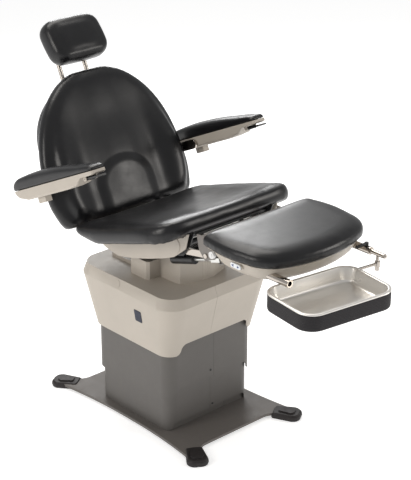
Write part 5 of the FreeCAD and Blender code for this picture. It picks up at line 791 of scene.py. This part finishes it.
def rod_mesh(bm, start, end, radius):
    """Adds a round bar with eased ends to a bmesh."""
    sides, cap = ROD_SIDES, ROD_EASE
    along = (end - start).normalized()
    side = along.orthogonal().normalized()
    up = along.cross(side)
    loops = []
    for place, share in ((start, 0.0), (start, 1.0 - cap / radius), (start + along * cap, 1.0),
                         (end - along * cap, 1.0), (end, 1.0 - cap / radius), (end, 0.0)):
        if share == 0.0:
            loops.append([bm.verts.new(place)])
            continue
        loops.append([bm.verts.new(place + (side * math.cos(a) + up * math.sin(a)) * radius * share)
                      for a in (2 * math.pi * i / sides for i in range(sides))])
    for one, other in zip(loops, loops[1:]):
        for index in range(sides):
            after = (index + 1) % sides
            corners = [one[index % len(one)], one[after % len(one)], other[after % len(other)],
                       other[index % len(other)]]
            bm.faces.new(list(dict.fromkeys(corners)))


def hanger_piece():
    """Bright sleeve on the drop rod and the strut that carries the band."""
    up, along = Vector((0, 0, 1)), Vector((1, 0, 0))
    bm = bmesh.new()
    rod_mesh(bm, FOOT @ (ROD_PIVOT + up * SLEEVE_LOW), FOOT @ (ROD_PIVOT + up * SLEEVE_HIGH), SLEEVE_RADIUS)
    axes = tray_axes()
    spot = axes.inverted() @ (FOOT @ (ROD_PIVOT + up * STRUT_LEVEL))
    corner = TRAY_CORNER + BAND_OUT
    into_corner = spot.y - TRAY_WIDE / 2 + TRAY_CORNER
    side = Vector((TRAY_LONG / 2 - TRAY_CORNER + math.sqrt(corner ** 2 - into_corner ** 2), spot.y, spot.z))
    inside = axes @ (side - along * STRUT_IN)
    rod_mesh(bm, axes @ (spot - along * 4 * MM), inside, STRUT_RADIUS)
    rod_mesh(bm, axes @ (side + along * PAD_THICK), inside, PAD_RADIUS)
    bmesh.ops.recalc_face_normals(bm, faces=bm.faces[:])
    bm.verts.index_update()
    obj = smooth(piece("tray_hanger", plain_mesh("tray_hanger", bm)), 40)
    obj.data.materials.append(finishes["chrome"])
    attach(obj, "tray")


# Operators, one for each piece or group of like pieces

class ChairOperator:
    """What all of the chair's operators share."""
    bl_options = {"REGISTER", "UNDO"}


class CHAIR_OT_finishes(ChairOperator, bpy.types.Operator):
    """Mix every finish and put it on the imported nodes"""
    bl_idname = "chair.finishes"
    bl_label = "Finishes"

    def execute(self, context):
        finishes.update(make_finishes())
        table = node_slots()
        for name, obj in frame["nodes"].items():
            if table.get(name) not in finishes:
                raise RuntimeError("no finish for " + name)
            obj.data.materials.clear()
            obj.data.materials.append(finishes[table[name]])
        return {"FINISHED"}


class CHAIR_OT_base(ChairOperator, bpy.types.Operator):
    """Ease the base plate, the foot caps and the column covers"""
    bl_idname = "chair.base"
    bl_label = "Base and covers"

    def execute(self, context):
        s = sizes()
        eased("base_plate", "plate_paint", s.metal_edge * 2)
        eased("foot_caps", "foot_rubber", s.rubber_edge)
        for node in ("lower_cover_right", "lower_cover_left", "kick_panel", "mid_cover_right", "mid_cover_left"):
            eased(node, "cover_grey", s.moulded_edge * 0.7)
        for node in ("lower_cover_screw", "mid_cover_screw"):
            eased(node, "steel_black", s.metal_edge * 0.4)
        eased("power_inlet", "shell_black", s.metal_edge)
        return {"FINISHED"}


class CHAIR_OT_shroud(ChairOperator, bpy.types.Operator):
    """Ease the shroud's halves, its plug and its side plate"""
    bl_idname = "chair.shroud"
    bl_label = "Shroud"

    def execute(self, context):
        s = sizes()
        for node in ("shroud_right", "shroud_left"):
            eased(node, "shroud_beige", s.moulded_edge)
        eased("plug_button", "button_beige", s.metal_edge)
        eased("side_plate", "badge_blue", s.metal_edge)
        return {"FINISHED"}


class CHAIR_OT_seat_shells(ChairOperator, bpy.types.Operator):
    """Ease the seat's shells and the hinge brackets under it"""
    bl_idname = "chair.seat_shells"
    bl_label = "Seat shells"

    def execute(self, context):
        s = sizes()
        for node in ("seat_shell_right", "seat_shell_left"):
            eased(node, "shroud_beige", s.metal_edge)
        eased("seat_frame", "steel_black", s.metal_edge)
        eased("foot_hinge_brackets", "chrome", s.metal_edge)
        return {"FINISHED"}


class CHAIR_OT_seat_cushion(ChairOperator, bpy.types.Operator):
    """Pad the seat"""
    bl_idname = "chair.seat_cushion"
    bl_label = "Seat cushion"

    def execute(self, context):
        cushion("seat_cushion", "seat_pad", SEAT, sizes().cell, seat_hold, seat_shape, 8)
        return {"FINISHED"}


class CHAIR_OT_back_cushion(ChairOperator, bpy.types.Operator):
    """Pad the back"""
    bl_idname = "chair.back_cushion"
    bl_label = "Back cushion"

    def execute(self, context):
        cushion("back_cushion", "back_pad", BACK, sizes().cell, back_hold, back_shape, 10)
        return {"FINISHED"}


class CHAIR_OT_headrest(ChairOperator, bpy.types.Operator):
    """Pad the headrest and ease its bracket and posts"""
    bl_idname = "chair.headrest"
    bl_label = "Headrest"

    def execute(self, context):
        cushion("headrest_cushion", "headrest_pad", HEAD, sizes().small_cell, head_hold, head_shape, 6)
        eased("headrest_bracket", "steel_black", sizes().metal_edge)
        eased("headrest_posts", "chrome", sizes().metal_edge)
        return {"FINISHED"}


class CHAIR_OT_back_shell(ChairOperator, bpy.types.Operator):
    """Ease the shell and the frame behind the back"""
    bl_idname = "chair.back_shell"
    bl_label = "Back shell"

    def execute(self, context):
        eased("back_shell", "shell_black", sizes().moulded_edge)
        eased("back_frame", "steel_black", sizes().metal_edge)
        return {"FINISHED"}


class CHAIR_OT_arms(ChairOperator, bpy.types.Operator):
    """Pad the arms and ease their shells, levers and brackets"""
    bl_idname = "chair.arms"
    bl_label = "Arms"

    def execute(self, context):
        s = sizes()
        for side in ("right", "left"):
            eased("arm_shell_" + side, "shroud_beige", s.moulded_edge * 0.7)
            eased("arm_lever_" + side, "steel_black", s.metal_edge)
            cushion("arm_pad_" + side, "arm_rest_" + side, BACK, s.small_cell * 0.8, arm_hold, arm_shape,
                    4)
        eased("arm_brackets", "chrome", s.metal_edge)
        return {"FINISHED"}


class CHAIR_OT_foot_section(ChairOperator, bpy.types.Operator):
    """Ease the channel, the foot housing, the discs and the switch"""
    bl_idname = "chair.foot_section"
    bl_label = "Foot section"

    def execute(self, context):
        s = sizes()
        eased("foot_frame", "channel_grey", s.metal_edge)
        eased("channel_discs", "disc_white", s.metal_edge)
        eased("foot_pan", "shroud_beige", s.metal_edge)
        rocker = eased("switch_rocker", "switch_white", s.metal_edge * 0.4)
        rocker.data.materials.append(finishes["arrow_blue"])
        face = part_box("switch_rocker")[0].x + ARROW_DEEP
        for polygon in rocker.data.polygons:
            if polygon.center.x < face:
                polygon.material_index = 1
        return {"FINISHED"}


class CHAIR_OT_foot_cushion(ChairOperator, bpy.types.Operator):
    """Pad the foot section"""
    bl_idname = "chair.foot_cushion"
    bl_label = "Foot cushion"

    def execute(self, context):
        cushion("foot_cushion", "foot_pad", FOOT, sizes().cell * 0.9, foot_hold, foot_shape, 6)
        return {"FINISHED"}


class CHAIR_OT_tray_arm(ChairOperator, bpy.types.Operator):
    """Ease the sockets, the clamp lever and the tray's tube"""
    bl_idname = "chair.tray_arm"
    bl_label = "Tray arm"

    def execute(self, context):
        s = sizes()
        eased("tray_sockets", "chrome", s.metal_edge)
        eased("clamp_lever", "steel_black", s.metal_edge)
        eased("tray_arm", "chrome", s.metal_edge)
        return {"FINISHED"}


class CHAIR_OT_tray(ChairOperator, bpy.types.Operator):
    """Make the tray's pan, its ribbed band and its hanger"""
    bl_idname = "chair.tray"
    bl_label = "Tray"

    def execute(self, context):
        pan_piece()
        band_piece()
        band_ribs()
        hanger_piece()
        return {"FINISHED"}


class CHAIR_OT_stage(ChairOperator, bpy.types.Operator):
    """Lay the floor and set the lights and the camera"""
    bl_idname = "chair.stage"
    bl_label = "Stage"

    def execute(self, context):
        floor_piece()
        set_lights()
        set_camera()
        return {"FINISHED"}


# Stage

CAMERA_PLACE = Vector((-3.218, -3.687, 2.760))
CAMERA_AZIMUTH = -42.4
CAMERA_ELEVATION = 23.6
CAMERA_LENS = 117.375
CAMERA_SENSOR = 36.0
CAMERA_REACH = 60.0

FLOOR_RADIUS = 16.0
FLOOR_LOW = 0.4 * MM
FLOOR_GLOW = 0.5
SKY_GLOW = 0.5

LIGHT_TARGET = (0.0, -0.2, 0.7)
WARM = (1.0, 0.965, 0.92)
WHITE = (1.0, 1.0, 1.0)
# name, place, size, watts and tint
LIGHTS = (
    ("top_light", (0.2, 1.2, 3.4), (2.6, 1.6), 62, WARM),
    ("right_light", (-3.6, 0.4, 2.2), (1.2, 1.6), 46, WARM),
    ("front_light", (2.7, -3.2, 2.0), (1.1, 1.3), 40, WARM),
    ("rear_light", (2.2, 3.0, 2.4), (1.8, 1.4), 60, WHITE),
)


def floor_piece():
    """Wide pale floor."""
    bm = bmesh.new()
    bmesh.ops.create_circle(bm, cap_ends=True, radius=FLOOR_RADIUS, segments=64,
                            matrix=Matrix.Translation((0, 0, -FLOOR_LOW)))
    bm.verts.index_update()
    obj = piece("floor", plain_mesh("floor", bm))
    material = finish("pale_floor", (0.86, 0.86, 0.86), 0.9, Specular_IOR_Level=0.1)
    shader = material.node_tree.nodes["Principled BSDF"]
    shader.inputs["Emission Color"].default_value = (*WHITE, 1.0)
    shader.inputs["Emission Strength"].default_value = FLOOR_GLOW
    obj.data.materials.append(material)


def area_light(name, place, size, power, tint):
    light = bpy.data.lights.new(name, "AREA")
    light.shape = "RECTANGLE"
    light.size, light.size_y = size
    light.energy = power
    light.color = tint
    obj = bpy.data.objects.new(name, light)
    obj.location = place
    obj.rotation_euler = (Vector(LIGHT_TARGET) - Vector(place)).to_track_quat("-Z", "Y").to_euler()
    bpy.context.scene.collection.objects.link(obj)


def set_lights():
    """Soft studio light: a wide top light, one on each side and one from behind."""
    for light in LIGHTS:
        area_light(*light)
    world = bpy.data.worlds.new("studio")
    world.use_nodes = True
    background = world.node_tree.nodes["Background"]
    background.inputs["Color"].default_value = (*WHITE, 1.0)
    background.inputs["Strength"].default_value = SKY_GLOW
    bpy.context.scene.world = world
    bpy.context.scene.view_settings.view_transform = "Standard"


def set_camera():
    camera = bpy.data.cameras.new("camera")
    camera.lens = CAMERA_LENS
    camera.sensor_width = CAMERA_SENSOR
    camera.clip_end = CAMERA_REACH
    obj = bpy.data.objects.new("camera", camera)
    azimuth, elevation = math.radians(CAMERA_AZIMUTH), math.radians(CAMERA_ELEVATION)
    obj.location = CAMERA_PLACE
    obj.rotation_euler = (math.pi / 2 - elevation, 0.0, azimuth)
    bpy.context.scene.collection.objects.link(obj)
    bpy.context.scene.camera = obj


OPERATORS = (
    CHAIR_OT_finishes, CHAIR_OT_base, CHAIR_OT_shroud, CHAIR_OT_seat_shells, CHAIR_OT_seat_cushion,
    CHAIR_OT_back_cushion, CHAIR_OT_headrest, CHAIR_OT_back_shell, CHAIR_OT_arms, CHAIR_OT_foot_section,
    CHAIR_OT_foot_cushion, CHAIR_OT_tray_arm, CHAIR_OT_tray, CHAIR_OT_stage,
)


class CHAIR_PT_panel(bpy.types.Panel):
    """Chair panel in the 3D view's sidebar"""
    bl_idname = "CHAIR_PT_panel"
    bl_label = "Podiatry Chair"
    bl_space_type = "VIEW_3D"
    bl_region_type = "UI"
    bl_category = "Chair"

    def draw(self, context):
        for operator in OPERATORS:
            self.layout.operator(operator.bl_idname)
        for group in (context.scene.chair_sizes, context.scene.chair_colours):
            box = self.layout.box()
            for name in group.__annotations__:
                box.prop(group, name)


def register():
    for item in (ChairSizes, ChairColours, *OPERATORS, CHAIR_PT_panel):
        bpy.utils.register_class(item)
    bpy.types.Scene.chair_sizes = bpy.props.PointerProperty(type=ChairSizes)
    bpy.types.Scene.chair_colours = bpy.props.PointerProperty(type=ChairColours)


def unregister():
    del bpy.types.Scene.chair_colours
    del bpy.types.Scene.chair_sizes
    for item in reversed((ChairSizes, ChairColours, *OPERATORS, CHAIR_PT_panel)):
        bpy.utils.unregister_class(item)


def main():
    register()
    for operator in OPERATORS:
        getattr(bpy.ops.chair, operator.bl_idname.split(".")[1])()


if __name__ == "__main__":
    main()
